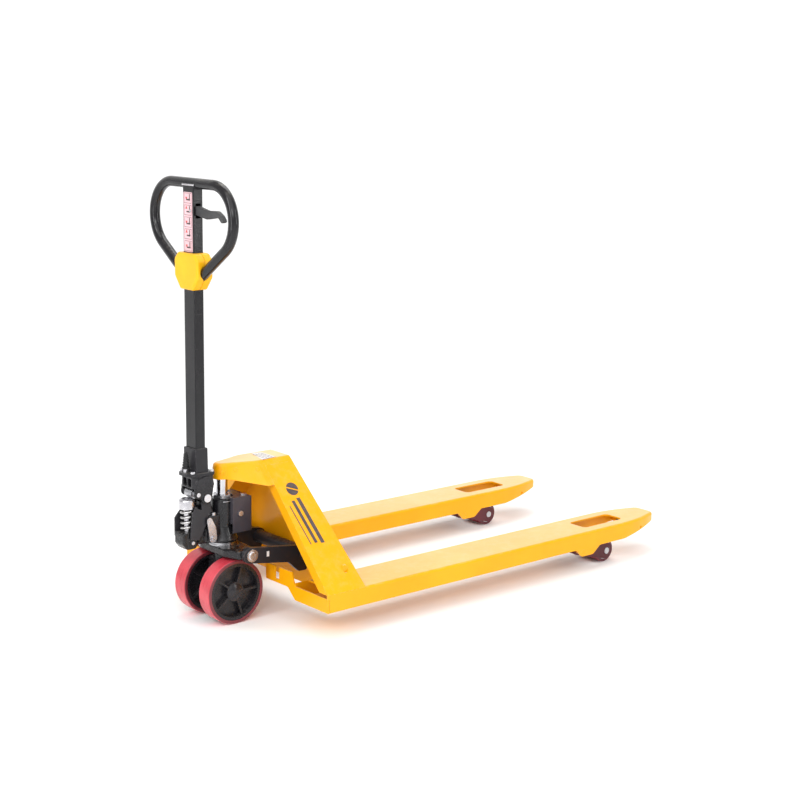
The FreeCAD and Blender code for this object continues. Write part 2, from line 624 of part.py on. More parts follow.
def seat_pins():
    """Two headed pins; the wide head covers the slot in the rocker arm's eye."""
    face = ARM_INNER + ARM_THICK + 0.6
    shank = rod_y(SEAT_PIN_RADIUS, ARM_INNER - 28, face, SEAT_PIN_X, SEAT_PIN_Z)
    washer = rod_y(17.5, face, face + 2.5, SEAT_PIN_X, SEAT_PIN_Z)
    head = rod_y(12.5, face + 2.5, face + 6, SEAT_PIN_X, SEAT_PIN_Z)
    head = head.makeFillet(2.0, edges_where(head, lambda e: e.BoundBox.YMin > face + 5.9))
    pin = join([shank, washer, head])
    return Part.makeCompound([pin, mirrored(pin)])


def thrust_bearing():
    lower = ring_z(THRUST_OUTER, COLUMN_RADIUS + 0.5, SEAT_TOP, SEAT_TOP + 4)
    cage = ring_z(THRUST_OUTER - 2, COLUMN_RADIUS + 1, SEAT_TOP + 4, SEAT_TOP + THRUST_HEIGHT)
    return Part.makeCompound([lower, cage])


# ---- pump ----
def pump_casting():
    """Cylinder, column and axle yoke, with the arm that ends in the pump piston's block."""
    flange_z = SEAT_TOP + THRUST_HEIGHT + GAP
    column = rod_z(COLUMN_RADIUS, 110, flange_z + 1)
    flange = rod_z(44.0, flange_z, flange_z + 10)
    flange = flange.makeFillet(3.0, flange.Edges[:1])
    cylinder = rod_z(CYLINDER_RADIUS, flange_z, CYLINDER_TOP)
    skirt = Part.makeCone(42.0, CYLINDER_RADIUS, 34.0, V(0, 0, flange_z + 9))
    yoke = plate_xz([(AXLE_X - 22, STEER_RADIUS - 22, 14), (AXLE_X + 22, STEER_RADIUS - 22, 14),
                     (22, 152, 8), (22, 172, 6), (-24, 172, 6), (-28, 140, 8)],
                    GAP + 5.2 - WHEEL_INNER, WHEEL_INNER - 5.2 - GAP)
    arm = plate_xz([(PISTON_X + 10, 224, 4), (-20, 219, 0), (-20, 290, 0), (-38, 290, 10),
                    (-52, PISTON_BLOCK_TOP, 10), (PISTON_X + 10, PISTON_BLOCK_TOP, 2)], -17, 17)
    front = PISTON_BLOCK_FRONT
    block = plate_xz([(front, 231, 3), (front + 12, 215, 6), (PISTON_X + 14, 215, 8),
                      (PISTON_X + 20, 228, 6), (PISTON_X + 20, PISTON_BLOCK_TOP, 2),
                      (front, PISTON_BLOCK_TOP, 2)], -22, 22)
    valve_block = plate_xy([(-62, -30, 6), (-26, -30, 2), (-26, 30, 2), (-62, 30, 6)], 226, 300)
    lug = strap((PIVOT_X, PIVOT_Z), 17.0, (-56, 296), 20.0, -19.5, 19.5)
    body = join([column, flange, cylinder, skirt, yoke, arm, block, valve_block, lug])
    body = body.cut(rod_z(RAM_RADIUS + RUNNING_FIT, 198, CYLINDER_TOP + 1))
    body = body.cut(rod_z(PISTON_RADIUS + RUNNING_FIT, 218, PISTON_BLOCK_TOP + 1, PISTON_X))
    body = body.cut(rod_y(AXLE_RADIUS, -40, 40, AXLE_X, STEER_RADIUS))
    sweep = rod_z(PISTON_CAP_RADIUS + 3, PISTON_BLOCK_TOP, PISTON_CAP_TOP + 30, PISTON_X)
    body = body.cut(sweep)
    swing = math.hypot(PRESS_ARM_X, PRESS_ARM_Z)
    press_gap = ring_y(swing + PRESS_RADIUS + 2, swing - PRESS_RADIUS - 1.5, -20, 20, PIVOT_X, PIVOT_Z)
    press_gap = press_gap.common(box(-140, PIVOT_X - 3, -20, 20, 300, 400))
    body = body.cut(press_gap)
    return body.cut(rod_y(PIVOT_RADIUS, -40, 40, PIVOT_X, PIVOT_Z))


def cheek_plates():
    """Two guards beside the pump spring, from the piston block up to the handle's pivot."""
    back = [(-92, PISTON_BLOCK_TOP - 24, 4), (-63, 290, 8), (-63, 304, 2), (-54, 312, 4),
            (-54, 350, 12), (-72, 371, 14), (-89, 352, 8)]
    far_front = [(-137, 298, 6), (-137, PISTON_BLOCK_TOP - 16, 4)]
    near_front = [(-112, 316, 6), (-120, PISTON_BLOCK_TOP - 18, 4)]
    far = plate_xz(back + far_front, 23.2, 27.2)
    near = plate_xz(back + near_front, -27.2, -23.2)
    swing = math.hypot(PRESS_ARM_X, PRESS_ARM_Z)
    pin_path = rod_y(swing + 7.5, -30, 30, PIVOT_X, PIVOT_Z)
    pin_path = pin_path.common(box(-140, PIVOT_X - 11, -30, 30, 300, 400))
    bore = rod_y(PIVOT_RADIUS, -30, 30, PIVOT_X, PIVOT_Z)
    return Part.makeCompound([plate.cut(pin_path).cut(bore) for plate in (far, near)])


def reservoir():
    tank = box(6, 72, -45, 45, 244, 343)
    outer = edges_where(tank, lambda e: e.BoundBox.XMin > 71.9 and e.BoundBox.ZMax > 300)
    tank = tank.makeFillet(9.0, outer)
    return tank.cut(rod_z(43.0, 200, 270)).cut(rod_z(CYLINDER_RADIUS, 230, 350))


def gland_nut():
    nut = hex_head(26.0, CYLINDER_TOP, CYLINDER_TOP + 9, 0, 0)
    return nut.cut(rod_z(RAM_RADIUS + RUNNING_FIT, CYLINDER_TOP - 1, CYLINDER_TOP + 10))


def pump_bolts():
    """Filler plug, the tank's side bolt, the valve cap, the drain plug and the lever's pin."""
    plug = hex_head(9, 343, 346.5, 56, -24)
    side = rod_y(7.5, -50, -45, 30, 298)
    valve_cap = hex_head(5.0, 300, 308, -44, -25)
    drain = rod_y(5.0, -27, -22, PISTON_X + 2, 233)
    lever_pin = join([rod_y(4.0, -38, -30, VALVE_X, VALVE_Z), rod_y(7.0, -41, -37, VALVE_X, VALVE_Z)])
    return Part.makeCompound([plug, side, valve_cap, drain, lever_pin])


def ram():
    rod = rod_z(RAM_RADIUS, 242, BULKHEAD_TOP - SHEET)
    crown = edges_where(rod, lambda e: e.BoundBox.ZMin > BULKHEAD_TOP - SHEET - 0.01)
    return rod.makeChamfer(3.0, crown)


def piston():
    """Plunger with a domed cup on top that holds the upper end of the spring."""
    cup = rod_z(PISTON_CAP_RADIUS, 326, PISTON_CAP_TOP, PISTON_X)
    dome = edges_where(cup, lambda e: e.BoundBox.ZMin > PISTON_CAP_TOP - 0.01)
    cup = cup.makeFillet(7.0, dome)
    cup = cup.cut(rod_z(PISTON_CAP_RADIUS - 2.2, 325, 341, PISTON_X))
    return join([cup, rod_z(PISTON_RADIUS, 254, 342, PISTON_X)])


def pump_spring():
    low = PISTON_BLOCK_TOP + SPRING_WIRE / 2 + 0.2
    high = 341 - SPRING_WIRE / 2 - 0.2
    height = high - low
    helix = Part.makeHelix(height / SPRING_TURNS, height, SPRING_RADIUS)
    circle = Part.makeCircle(SPRING_WIRE / 2, V(SPRING_RADIUS, 0, 0), V(0, 1, 0))
    coil = Part.Wire(helix).makePipeShell([Part.Wire(circle)], True, True)
    coil.translate(V(PISTON_X, 0, low))
    return coil


def valve_lever():
    """Plated lever that opens the release valve; the pull rod's chain works it."""
    y0 = -36.5
    y1 = -32.5
    lower = strap((VALVE_X, VALVE_Z), 11.0, (VALVE_X - 4, VALVE_Z + 28), 12.0, y0, y1)
    upper = strap((VALVE_X - 4, VALVE_Z + 28), 12.0, (VALVE_X - 12, VALVE_Z + 52), 8.0, y0, y1)
    lever = join([lower, upper])
    return lever.cut(rod_y(4 + RUNNING_FIT, -40, -30, VALVE_X, VALVE_Z))


# ---- steer axle and wheels ----
def steer_axle():
    """Axle and the two spacing washers between the yoke and the wheels."""
    reach = WHEEL_OUTER - 8
    axle = rod_y(AXLE_RADIUS, -reach, reach, AXLE_X, STEER_RADIUS)
    inner = WHEEL_INNER - 5.2
    washer = ring_y(20.0, AXLE_RADIUS, inner, WHEEL_INNER - GAP, AXLE_X, STEER_RADIUS)
    return Part.makeCompound([axle, washer, mirrored(washer)])


def steer_tread_left():
    tread = rod_y(STEER_RADIUS, WHEEL_INNER, WHEEL_OUTER, AXLE_X, STEER_RADIUS)
    tread = tread.makeFillet(3.5, edges_where(tread, lambda e: e.BoundBox.YLength < 0.01))
    return tread.cut(rod_y(STEER_RADIUS - STEER_TREAD, WHEEL_INNER - 1, WHEEL_OUTER + 1,
                           AXLE_X, STEER_RADIUS))


def steer_hub_left():
    """Dished hub: rim, web, five ribs on each side and a domed boss on the outside."""
    rim_radius = STEER_RADIUS - STEER_TREAD
    middle = (WHEEL_INNER + WHEEL_OUTER) / 2
    rim = ring_y(rim_radius, rim_radius - 9, WHEEL_INNER + 1, WHEEL_OUTER - 1, AXLE_X, STEER_RADIUS)
    web = rod_y(rim_radius - 5, middle - 5, middle + 5, AXLE_X, STEER_RADIUS)
    boss = rod_y(27.0, WHEEL_INNER, WHEEL_OUTER - 4, AXLE_X, STEER_RADIUS)
    dome = Part.makeSphere(44.0, V(AXLE_X, WHEEL_OUTER - 41, STEER_RADIUS))
    dome = dome.common(rod_y(24.0, WHEEL_OUTER - 6, WHEEL_OUTER + 6, AXLE_X, STEER_RADIUS))
    ribs = []
    for index in range(5):
        rib = box(-3, 3, WHEEL_INNER + 5, WHEEL_OUTER - 5, 20, rim_radius - 4)
        rib.rotate(V(0, 0, 0), V(0, 1, 0), 90 + 72 * index)
        rib.translate(V(AXLE_X, 0, STEER_RADIUS))
        ribs.append(rib)
    hub = join([rim, web, boss, dome] + ribs)
    hub = hub.cut(rod_y(21.0, WHEEL_INNER - 1, WHEEL_OUTER - 8, AXLE_X, STEER_RADIUS))
    return hub


def steer_bearings_left():
    solids = []
    for start in (WHEEL_INNER + 1, WHEEL_OUTER - 22):
        solids.append(ring_y(21.0, AXLE_RADIUS + RUNNING_FIT, start, start + 13,
                             AXLE_X, STEER_RADIUS))
    return Part.makeCompound(solids)


# ---- handle ----
def handle_base():
    """Casting at the pole's foot: a bored block on two ears that also hold the press roller."""
    block = plate_xy([(-112, -30, 8), (-48, -36, 6), (-48, 36, 6), (-112, 30, 8)], FOOT_Z - 35, FOOT_Z)
    solids = [block]
    for start in (28.5, -36.0):
        ear = strap((PIVOT_X, PIVOT_Z), 17.0, (-72, 392), 24.0, start, start + 7.5)
        lobe = strap((PIVOT_X - PRESS_ARM_X, PIVOT_Z + PRESS_ARM_Z), 12.0, (-88, 394), 18.0,
                     start, start + 7.5)
        solids += [ear, lobe]
    body = join(solids)
    body = body.cut(rod_y(PIVOT_RADIUS + RUNNING_FIT, -40, 40, PIVOT_X, PIVOT_Z))
    body = body.cut(rod_y(6.0, -40, 40, PIVOT_X - PRESS_ARM_X, PIVOT_Z + PRESS_ARM_Z))
    for y in (-19, 3):
        body = body.cut(box(-115, -98, y, y + 16, FOOT_Z - 30, FOOT_Z - 9))
    swing = rod_y(32.0, -28, 28, PIVOT_X, PIVOT_Z)
    return body.cut(swing)


def handle_pins():
    """The pivot pin's two heads stand outside the ears; the roller pin is flush with them."""
    press = rod_y(6.0, -36, 36, PIVOT_X - PRESS_ARM_X, PIVOT_Z + PRESS_ARM_Z)
    lever = rod_x(4.0, POLE_X - POLE_DEPTH / 2 - 2, POLE_X + POLE_DEPTH / 2 + 2,
                  LEVER_PIVOT_Y, LEVER_PIVOT_Z)
    return Part.makeCompound([press, lever])


def pivot_pin():
    shank = rod_y(PIVOT_RADIUS, -37, 37, PIVOT_X, PIVOT_Z)
    heads = [rod_y(11.0, 36.6, 40.5, PIVOT_X, PIVOT_Z), rod_y(11.0, -40.5, -36.6, PIVOT_X, PIVOT_Z)]
    return join([shank] + heads)


def press_roller():
    return ring_y(PRESS_RADIUS, 6 + RUNNING_FIT, -17, 17, PIVOT_X - PRESS_ARM_X,
                  PIVOT_Z + PRESS_ARM_Z)


def pole_foot():
    """Flanged sleeve, bolted to the casting, that grips the bottom of the pole."""
    half_x = POLE_DEPTH / 2
    half_y = POLE_WIDTH / 2
    flange = plate_xy([(-127, -18, 12), (-104, -38, 6), (-46, -38, 6), (-46, 38, 6),
                       (-104, 38, 6), (-127, 18, 12)], FOOT_Z, FOOT_Z + FOOT_FLANGE)
    sleeve = plate_yz([(-half_y - 6, FOOT_Z + 4, 0), (half_y + 6, FOOT_Z + 4, 0),
                       (half_y + 3.5, FOOT_Z + 74, 4), (-half_y - 3.5, FOOT_Z + 74, 4)],
                      POLE_X - half_x - 4, POLE_X + half_x + 4)
    body = join([flange, sleeve])
    return body.cut(box(POLE_X - half_x, POLE_X + half_x, -half_y, half_y,
                        FOOT_Z + 2, FOOT_Z + 100))


def foot_bolts():
    solids = []
    for x, y in ((-54, -31), (-54, 31), (-110, -26), (-110, 26)):
        solids.append(hex_head(6.5, FOOT_Z + FOOT_FLANGE, FOOT_Z + FOOT_FLANGE + 6, x, y))
    solids.append(hex_head(7.5, FOOT_Z + FOOT_FLANGE, FOOT_Z + FOOT_FLANGE + 10, -115, 0))
    return Part.makeCompound(solids)


def rubber_buffer():
    """Ribbed bump stop in front of the pole's foot."""
    base = FOOT_Z + FOOT_FLANGE + 10
    rings = [Part.makeCone(8.0, 4.0, 46.0, V(-115, 0, base))]
    for index in range(6):
        z = base + 2 + 7 * index
        rings.append(rod_z(10.5 - 0.8 * index, z, z + 3.2, -115))
    return join(rings)


def pole():
    half_x = POLE_DEPTH / 2
    half_y = POLE_WIDTH / 2
    tube = box(POLE_X - half_x, POLE_X + half_x, -half_y, half_y, FOOT_Z + 2.2, HANDLE_TOP)
    upright = edges_where(tube, lambda e: e.BoundBox.ZLength > 100)
    tube = tube.makeFillet(3.0, upright)
    tube = tube.cut(box(POLE_X - half_x + POLE_WALL, POLE_X + half_x - POLE_WALL,
                        -half_y + POLE_WALL, half_y - POLE_WALL, 0, HANDLE_TOP + 1))
    tube = tube.cut(rod_y(LOOP_RADIUS, -60, 60, POLE_X, HANDLE_TOP))
    tube = tube.cut(box(POLE_X - half_x - 1, POLE_X + half_x + 1, -half_y - 1, half_y + 1,
                        HANDLE_TOP, HANDLE_TOP + 20))
    slot = box(POLE_X - 8, POLE_X + 8, -half_y - 1, -half_y + POLE_WALL + 1,
               LEVER_PIVOT_Z - 19, LEVER_PIVOT_Z + 19)
    tube = tube.cut(slot)
    return tube.cut(rod_x(4.0, POLE_X - 30, POLE_X + 30, LEVER_PIVOT_Y, LEVER_PIVOT_Z))


def loop_points():
    """Key points of half the loop's centre line, in the (y, z) plane."""
    turn = math.radians(90 - LOOP_LEG_ANGLE)
    shoulder_y = LOOP_HALF - LOOP_SHOULDER
    side_z = HANDLE_TOP - LOOP_SHOULDER
    centre_y = LOOP_HALF - LOOP_TURN
    bend_y = centre_y + LOOP_TURN * math.cos(turn)
    bend_z = side_z - LOOP_TURN * math.sin(turn)
    root_y = POLE_WIDTH / 2 - 8
    root_z = bend_z - (bend_y - root_y) * math.tan(math.radians(LOOP_LEG_ANGLE))
    return {
        "shoulder": (shoulder_y, HANDLE_TOP),
        "shoulder_mid": (shoulder_y + LOOP_SHOULDER * math.sin(math.pi / 4),
                         side_z + LOOP_SHOULDER * math.cos(math.pi / 4)),
        "side": (LOOP_HALF, side_z),
        "bend_mid": (centre_y + LOOP_TURN * math.cos(turn / 2),
                     side_z - LOOP_TURN * math.sin(turn / 2)),
        "bend": (bend_y, bend_z),
        "root": (root_y, root_z),
    }


def handle_loop():
    """D-shaped tube: flat top bar, round shoulders and legs that run into the hub."""
    keys = loop_points()

    def at(name, side):
        y, z = keys[name]
        return V(POLE_X, side * y, z)

    edges = [
        Part.makeLine(at("root", 1), at("bend", 1)),
        Part.Arc(at("bend", 1), at("bend_mid", 1), at("side", 1)).toShape(),
        Part.Arc(at("side", 1), at("shoulder_mid", 1), at("shoulder", 1)).toShape(),
        Part.makeLine(at("shoulder", 1), at("shoulder", -1)),
        Part.Arc(at("shoulder", -1), at("shoulder_mid", -1), at("side", -1)).toShape(),
        Part.Arc(at("side", -1), at("bend_mid", -1), at("bend", -1)).toShape(),
        Part.makeLine(at("bend", -1), at("root", -1)),
    ]
    path = Part.Wire(edges)
    start = at("root", 1)
    circle = Part.makeCircle(LOOP_RADIUS, start, at("bend", 1) - start)
    tube = path.makePipeShell([Part.Wire(circle)], True, True)
    half_x = POLE_DEPTH / 2
    half_y = POLE_WIDTH / 2
    keep_out = box(POLE_X - half_x, POLE_X + half_x, -half_y, half_y, 800, 1100)
    return tube.cut(keep_out)


def hub_outline(inset):
    low_half = HUB_HALF - 27
    return [
        (-low_half + inset * 0.4, HUB_BOTTOM + inset, 8),
        (low_half - inset * 0.4, HUB_BOTTOM + inset, 8),
        (HUB_HALF - inset, HUB_BOTTOM + 34 + inset * 0.4, 10),
        (HUB_HALF - inset, HUB_TOP - 18, 12),
        (HUB_HALF - 16 - inset * 0.5, HUB_TOP - inset, 12),
        (-HUB_HALF + 16 + inset * 0.5, HUB_TOP - inset, 12),
        (-HUB_HALF + inset, HUB_TOP - 18, 12),
        (-HUB_HALF + inset, HUB_BOTTOM + 34 + inset * 0.4, 10),
    ]


def hub_cover():
    """Two moulded half shells that clip round the pole where the loop's legs meet it."""
    front_x = POLE_X - HUB_DEPTH / 2
    back_x = POLE_X + HUB_DEPTH / 2
    outer = plate_yz(hub_outline(0), front_x, back_x)
    rims = edges_where(outer, lambda e: e.BoundBox.XLength < 0.01)
    outer = outer.makeFillet(6.0, rims)
    inner = plate_yz(hub_outline(HUB_WALL), front_x + HUB_WALL, back_x - HUB_WALL)
    shell = outer.cut(inner)
    half_x = POLE_DEPTH / 2 + 0.1
    half_y = POLE_WIDTH / 2 + 0.1
    shell = shell.cut(box(POLE_X - half_x, POLE_X + half_x, -half_y, half_y, 800, 1150))
    keys = loop_points()
    for side in (-1, 1):
        root = V(POLE_X, side * keys["root"][0], keys["root"][1])
        bend = V(POLE_X, side * keys["bend"][0], keys["bend"][1])
        leg = Part.makeCylinder(LOOP_RADIUS + 0.1, (bend - root).Length, root, bend - root)
        shell = shell.cut(leg)
    front = shell.common(box(front_x - 1, POLE_X, -100, 100, 800, 1150))
    rear = shell.common(box(POLE_X, back_x + 1, -100, 100, 800, 1150))
    return {"hub_cover_front": front, "hub_cover_rear": rear}


def hub_screws():
    solids = []
    back_x = POLE_X + HUB_DEPTH / 2
    for y, z in ((-36, HUB_TOP - 26), (36, HUB_TOP - 26),
                 (-30, HUB_BOTTOM + 26), (30, HUB_BOTTOM + 26)):
        solids.append(rod_x(4.5, back_x, back_x + 2, y, z))
    return Part.makeCompound(solids)


def control_lever():
    """Hand lever under the top bar, hooked at its end, with a short tail inside the pole."""
    y = LEVER_PIVOT_Y
    z = LEVER_PIVOT_Z
    tip_y = y - LEVER_REACH
    tip_z = z - LEVER_DROOP
    corners = [
        (y + 18, z + 8, 4), (y - 14, z + 13, 6), (y - 62, z + 4, 30), (tip_y + 34, tip_z + 20, 14),
        (tip_y + 12, tip_z + 9, 10), (tip_y, tip_z - 6, 4), (tip_y + 12, tip_z - 10, 4),
        (tip_y + 26, tip_z + 3, 10), (y - 60, z - 19, 20), (y - 18, z - 12, 8), (y + 18, z - 8, 4),
    ]
    lever = plate_yz(corners, POLE_X - 7, POLE_X + 7)
    return lever.cut(rod_x(4 + RUNNING_FIT, POLE_X - 10, POLE_X + 10, y, z))


def pull_rod():
    return rod_z(2.0, FOOT_Z + 12, LEVER_PIVOT_Z - 9.5, POLE_X, LEVER_PIVOT_Y + 15)


# ---- write every sub-part ----
def all_parts():
    parts = bulkhead_parts()
    parts.update(hub_cover())
    sided = {
        "fork": fork_left,
        "heel_plate": heel_plate_left,
        "entry_roller": entry_roller_left,
        "rocker_arm": rocker_arm_left,
        "push_rod": push_rod_left,
        "roller_bracket": roller_bracket_left,
        "bracket_pins": bracket_pins_left,
        "load_roller_hub": load_roller_hub_left,
        "load_roller_tread": load_roller_tread_left,
        "steer_tread": steer_tread_left,
        "steer_hub": steer_hub_left,
        "steer_bearings": steer_bearings_left,
    }
    for name, maker in sided.items():
        shape = maker()
        parts[name + "_left"] = shape
        parts[name + "_right"] = mirrored(shape)
    single = [
        fork_pins, rocker_shaft, torsion_tube, crank_pins, pump_seat,
        seat_pins, thrust_bearing, pump_casting, cheek_plates, reservoir, gland_nut, pump_bolts,
        ram, piston, pump_spring, valve_lever, steer_axle, handle_base,
        handle_pins, pivot_pin, press_roller, pole_foot, foot_bolts, rubber_buffer, pole,
        handle_loop, hub_screws, control_lever, pull_rod,
    ]
    for maker in single:
        parts[maker.__name__] = maker()
    return parts


def main():
    os.makedirs("parts", exist_ok=True)
    for name, shape in all_parts().items():
        moved = shape.copy()
        moved.translate(V(-ORIGIN_X, 0, 0))
        moved.exportStep("parts/" + name + ".step")


if __name__ == "__main__":
    main()
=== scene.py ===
import math

import bmesh
import bpy
from mathutils import Matrix, Vector, noise


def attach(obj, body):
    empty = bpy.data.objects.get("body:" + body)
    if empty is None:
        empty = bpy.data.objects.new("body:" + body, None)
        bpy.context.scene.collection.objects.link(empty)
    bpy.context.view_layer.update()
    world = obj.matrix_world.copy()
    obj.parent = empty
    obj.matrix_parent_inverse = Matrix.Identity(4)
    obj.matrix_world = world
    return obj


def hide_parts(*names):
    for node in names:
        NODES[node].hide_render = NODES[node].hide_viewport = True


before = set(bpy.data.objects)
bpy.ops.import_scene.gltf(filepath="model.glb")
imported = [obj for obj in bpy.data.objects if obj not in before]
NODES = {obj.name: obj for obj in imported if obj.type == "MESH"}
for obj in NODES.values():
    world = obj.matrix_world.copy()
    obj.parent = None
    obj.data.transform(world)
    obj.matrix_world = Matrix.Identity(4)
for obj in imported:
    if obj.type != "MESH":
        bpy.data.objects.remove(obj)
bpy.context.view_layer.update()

# Places on the truck, in metres, in the row frame.
STEER_X = -0.6575
POLE_X = STEER_X - 0.083
POLE_FRONT_X = POLE_X - 0.015
POLE_HALF_Y = 0.025
HANDLE_TOP_Z = 1.199
LOOP_RADIUS = 0.014
ARM_FACE_Y = -0.1182
CAP_FILM_Z = 0.4382
PANEL_CREST = (-0.0455, 0.438)
PANEL_FOOT = (-0.3425, 0.122)

# Stickers and printing, in metres.
FILM_GAP = 0.0002
FILM_THICKNESS = 0.0003
INK_GAP = 0.0005
INK_THICKNESS = 0.0001
STICKER_GAP = 0.0003
STICKER_THICKNESS = 0.0002

BEVEL_SAMPLES = 6
BUMP_STRENGTH = 0.6


# ---------------------------------------------------------------- shader groups
def start_group(name, inputs, outputs):
    """A shader group with named inputs and outputs, and its two end nodes."""
    tree = bpy.data.node_groups.new(name, "ShaderNodeTree")
    for label, default in inputs:
        kind = "NodeSocketVector" if hasattr(default, "__len__") else "NodeSocketFloat"
        socket = tree.interface.new_socket(name=label, in_out="INPUT", socket_type=kind)
        socket.default_value = default
    for label in outputs:
        kind = "NodeSocketVector" if label == "Normal" else "NodeSocketFloat"
        tree.interface.new_socket(name=label, in_out="OUTPUT", socket_type=kind)
    return tree, tree.nodes.new("NodeGroupInput"), tree.nodes.new("NodeGroupOutput")


def feed(tree, socket, what):
    """Links another node's socket to an input, or sets the input to a plain value."""
    if isinstance(what, bpy.types.NodeSocket):
        tree.links.new(what, socket)
    else:
        socket.default_value = what


def add_node(tree, kind, links=(), **settings):
    """A node with its settings, and (input name or index, value or socket) pairs."""
    node = tree.nodes.new(kind)
    for key, value in settings.items():
        setattr(node, key, value)
    for where, what in links:
        feed(tree, node.inputs[where], what)
    return node


def calc(tree, operation, first, second=0.0):
    return add_node(tree, "ShaderNodeMath", ((0, first), (1, second)), operation=operation).outputs[0]


def ramp(tree, value, low, high, to_low=0.0, to_high=1.0):
    """Eases a value from one range into another."""
    links = (("Value", value), ("From Min", low), ("From Max", high), ("To Min", to_low), ("To Max", to_high))
    node = add_node(tree, "ShaderNodeMapRange", links, interpolation_type="SMOOTHSTEP")
    return node.outputs["Result"]


def cloud(tree, place, scale, detail=3.0, roughness=0.55):
    """Soft noise from 0 to 1."""
    links = (("Vector", place), ("Scale", scale), ("Detail", detail), ("Roughness", roughness))
    return add_node(tree, "ShaderNodeTexNoise", links).outputs["Fac"]


def surface_place(tree):
    return add_node(tree, "ShaderNodeTexCoord").outputs["Object"]


def stretched(tree, place, stretch):
    """A place scaled by its own amount along each axis."""
    node = add_node(tree, "ShaderNodeVectorMath", ((0, place), (1, stretch)), operation="MULTIPLY")
    return node.outputs[0]


def build_edge_wear():
    """Outer and inner edges, broken into patches by noise."""
    tree, given, out = start_group("edge wear", (("Radius", 0.0012), ("Breakup", 90.0)), ("Mask",))
    place = surface_place(tree)
    rounded = add_node(tree, "ShaderNodeBevel", (("Radius", given.outputs["Radius"]),), samples=BEVEL_SAMPLES)
    flat = add_node(tree, "ShaderNodeNewGeometry").outputs["Normal"]
    agree = add_node(tree, "ShaderNodeVectorMath", ((0, rounded.outputs[0]), (1, flat)),
                     operation="DOT_PRODUCT")
    edge = ramp(tree, calc(tree, "SUBTRACT", 1.0, agree.outputs["Value"]), 0.02, 0.22)
    patches = ramp(tree, cloud(tree, place, given.outputs["Breakup"], 4.0, 0.65), 0.40, 0.62)
    tree.links.new(calc(tree, "MULTIPLY", edge, patches), out.inputs["Mask"])
    return tree


def build_colour_drift():
    """Slow, faint change of shade over a surface."""
    tree, given, out = start_group("colour drift", (("Scale", 6.0),), ("Shade",))
    place = surface_place(tree)
    shade = ramp(tree, cloud(tree, place, given.outputs["Scale"], 5.0), 0.3, 0.7)
    tree.links.new(shade, out.inputs["Shade"])
    return tree


def build_paint_skin():
    """Orange peel of a powder coat, with a few specks of dirt under it."""
    tree, given, out = start_group("paint skin", (("Peel Scale", 900.0),), ("Height", "Specks"))
    place = surface_place(tree)
    tree.links.new(cloud(tree, place, given.outputs["Peel Scale"], 2.0), out.inputs["Height"])
    specks = ramp(tree, cloud(tree, place, 1400.0, 1.0), 0.70, 0.76)
    tree.links.new(specks, out.inputs["Specks"])
    return tree


def build_cast_skin():
    """Lumpy skin of a sand casting: broad swells with fine grit on top."""
    tree, given, out = start_group("cast skin", (("Lump Scale", 70.0), ("Grit Scale", 1100.0)), ("Height",))
    place = surface_place(tree)
    lumps = cloud(tree, place, given.outputs["Lump Scale"], 3.0)
    grit = cloud(tree, place, given.outputs["Grit Scale"], 2.0)
    tree.links.new(calc(tree, "ADD", lumps, calc(tree, "MULTIPLY", grit, 0.25)), out.inputs["Height"])
    return tree


def build_fine_lines():
    """Fine parallel lines left by turning, grinding or drawing, along one direction."""
    tree, given, out = start_group("fine lines", (("Stretch", (40.0, 2500.0, 40.0)),), ("Height",))
    place = surface_place(tree)
    scaled = stretched(tree, place, given.outputs["Stretch"])
    tree.links.new(cloud(tree, scaled, 1.0, 2.0), out.inputs["Height"])
    return tree


def build_settled_dust():
    """Dust on faces that look up, thinner where the noise breaks it."""
    tree, given, out = start_group("settled dust", (("Scale", 45.0),), ("Mask",))
    place = surface_place(tree)
    normal = add_node(tree, "ShaderNodeNewGeometry").outputs["Normal"]
    up = add_node(tree, "ShaderNodeSeparateXYZ", ((0, normal),)).outputs["Z"]
    patches = ramp(tree, cloud(tree, place, given.outputs["Scale"], 5.0, 0.7), 0.42, 0.72)
    tree.links.new(calc(tree, "MULTIPLY", ramp(tree, up, 0.4, 0.95), patches), out.inputs["Mask"])
    return tree


def build_scuffs():
    """Sparse short scratches, as from pallets and feet."""
    tree, given, out = start_group("scuffs", (("Stretch", (25.0, 300.0, 300.0)),), ("Mask",))
    place = surface_place(tree)
    scaled = stretched(tree, place, given.outputs["Stretch"])
    lines = ramp(tree, cloud(tree, scaled, 1.0, 2.0, 0.5), 0.66, 0.72)
    zones = ramp(tree, cloud(tree, place, 9.0, 2.0), 0.5, 0.62)
    tree.links.new(calc(tree, "MULTIPLY", lines, zones), out.inputs["Mask"])
    return tree


EDGE_WEAR = build_edge_wear()
COLOUR_DRIFT = build_colour_drift()
PAINT_SKIN = build_paint_skin()
CAST_SKIN = build_cast_skin()
FINE_LINES = build_fine_lines()
SETTLED_DUST = build_settled_dust()
SCUFFS = build_scuffs()


# ---------------------------------------------------------------- materials
def place_group(tree, effect, **values):
    node = add_node(tree, "ShaderNodeGroup", node_tree=effect)
    for label, value in values.items():
        node.inputs[label.replace("_", " ")].default_value = value
    return node


def mix_colour(tree, share, first, second):
    """The first colour, turned towards the second by a share from 0 to 1."""
    node = add_node(tree, "ShaderNodeMix", data_type="RGBA")
    for index, what in ((0, share), (6, first), (7, second)):
        feed(tree, node.inputs[index], what)
    return node.outputs[2]


def tint(tree, colour, mask, share, other):
    """A colour turned towards another where a mask says so, by at most a share."""
    return mix_colour(tree, calc(tree, "MULTIPLY", mask, share), colour, other)


def rgb(red, green, blue):
    return (red, green, blue, 1.0)


SAND_DUST = rgb(0.75, 0.68, 0.55)
GREY_DUST = rgb(0.30, 0.28, 0.26)
WARM_DUST = rgb(0.42, 0.38, 0.35)
RUBBED_IRON = rgb(0.32, 0.31, 0.32)
ROLLED_GRIT = rgb(0.16, 0.10, 0.10)
# Painted highlight colour: slanted yellow faces turn towards this cream.
PAINTED_SHEEN_CREAM = rgb(1.0, 0.84, 0.58)


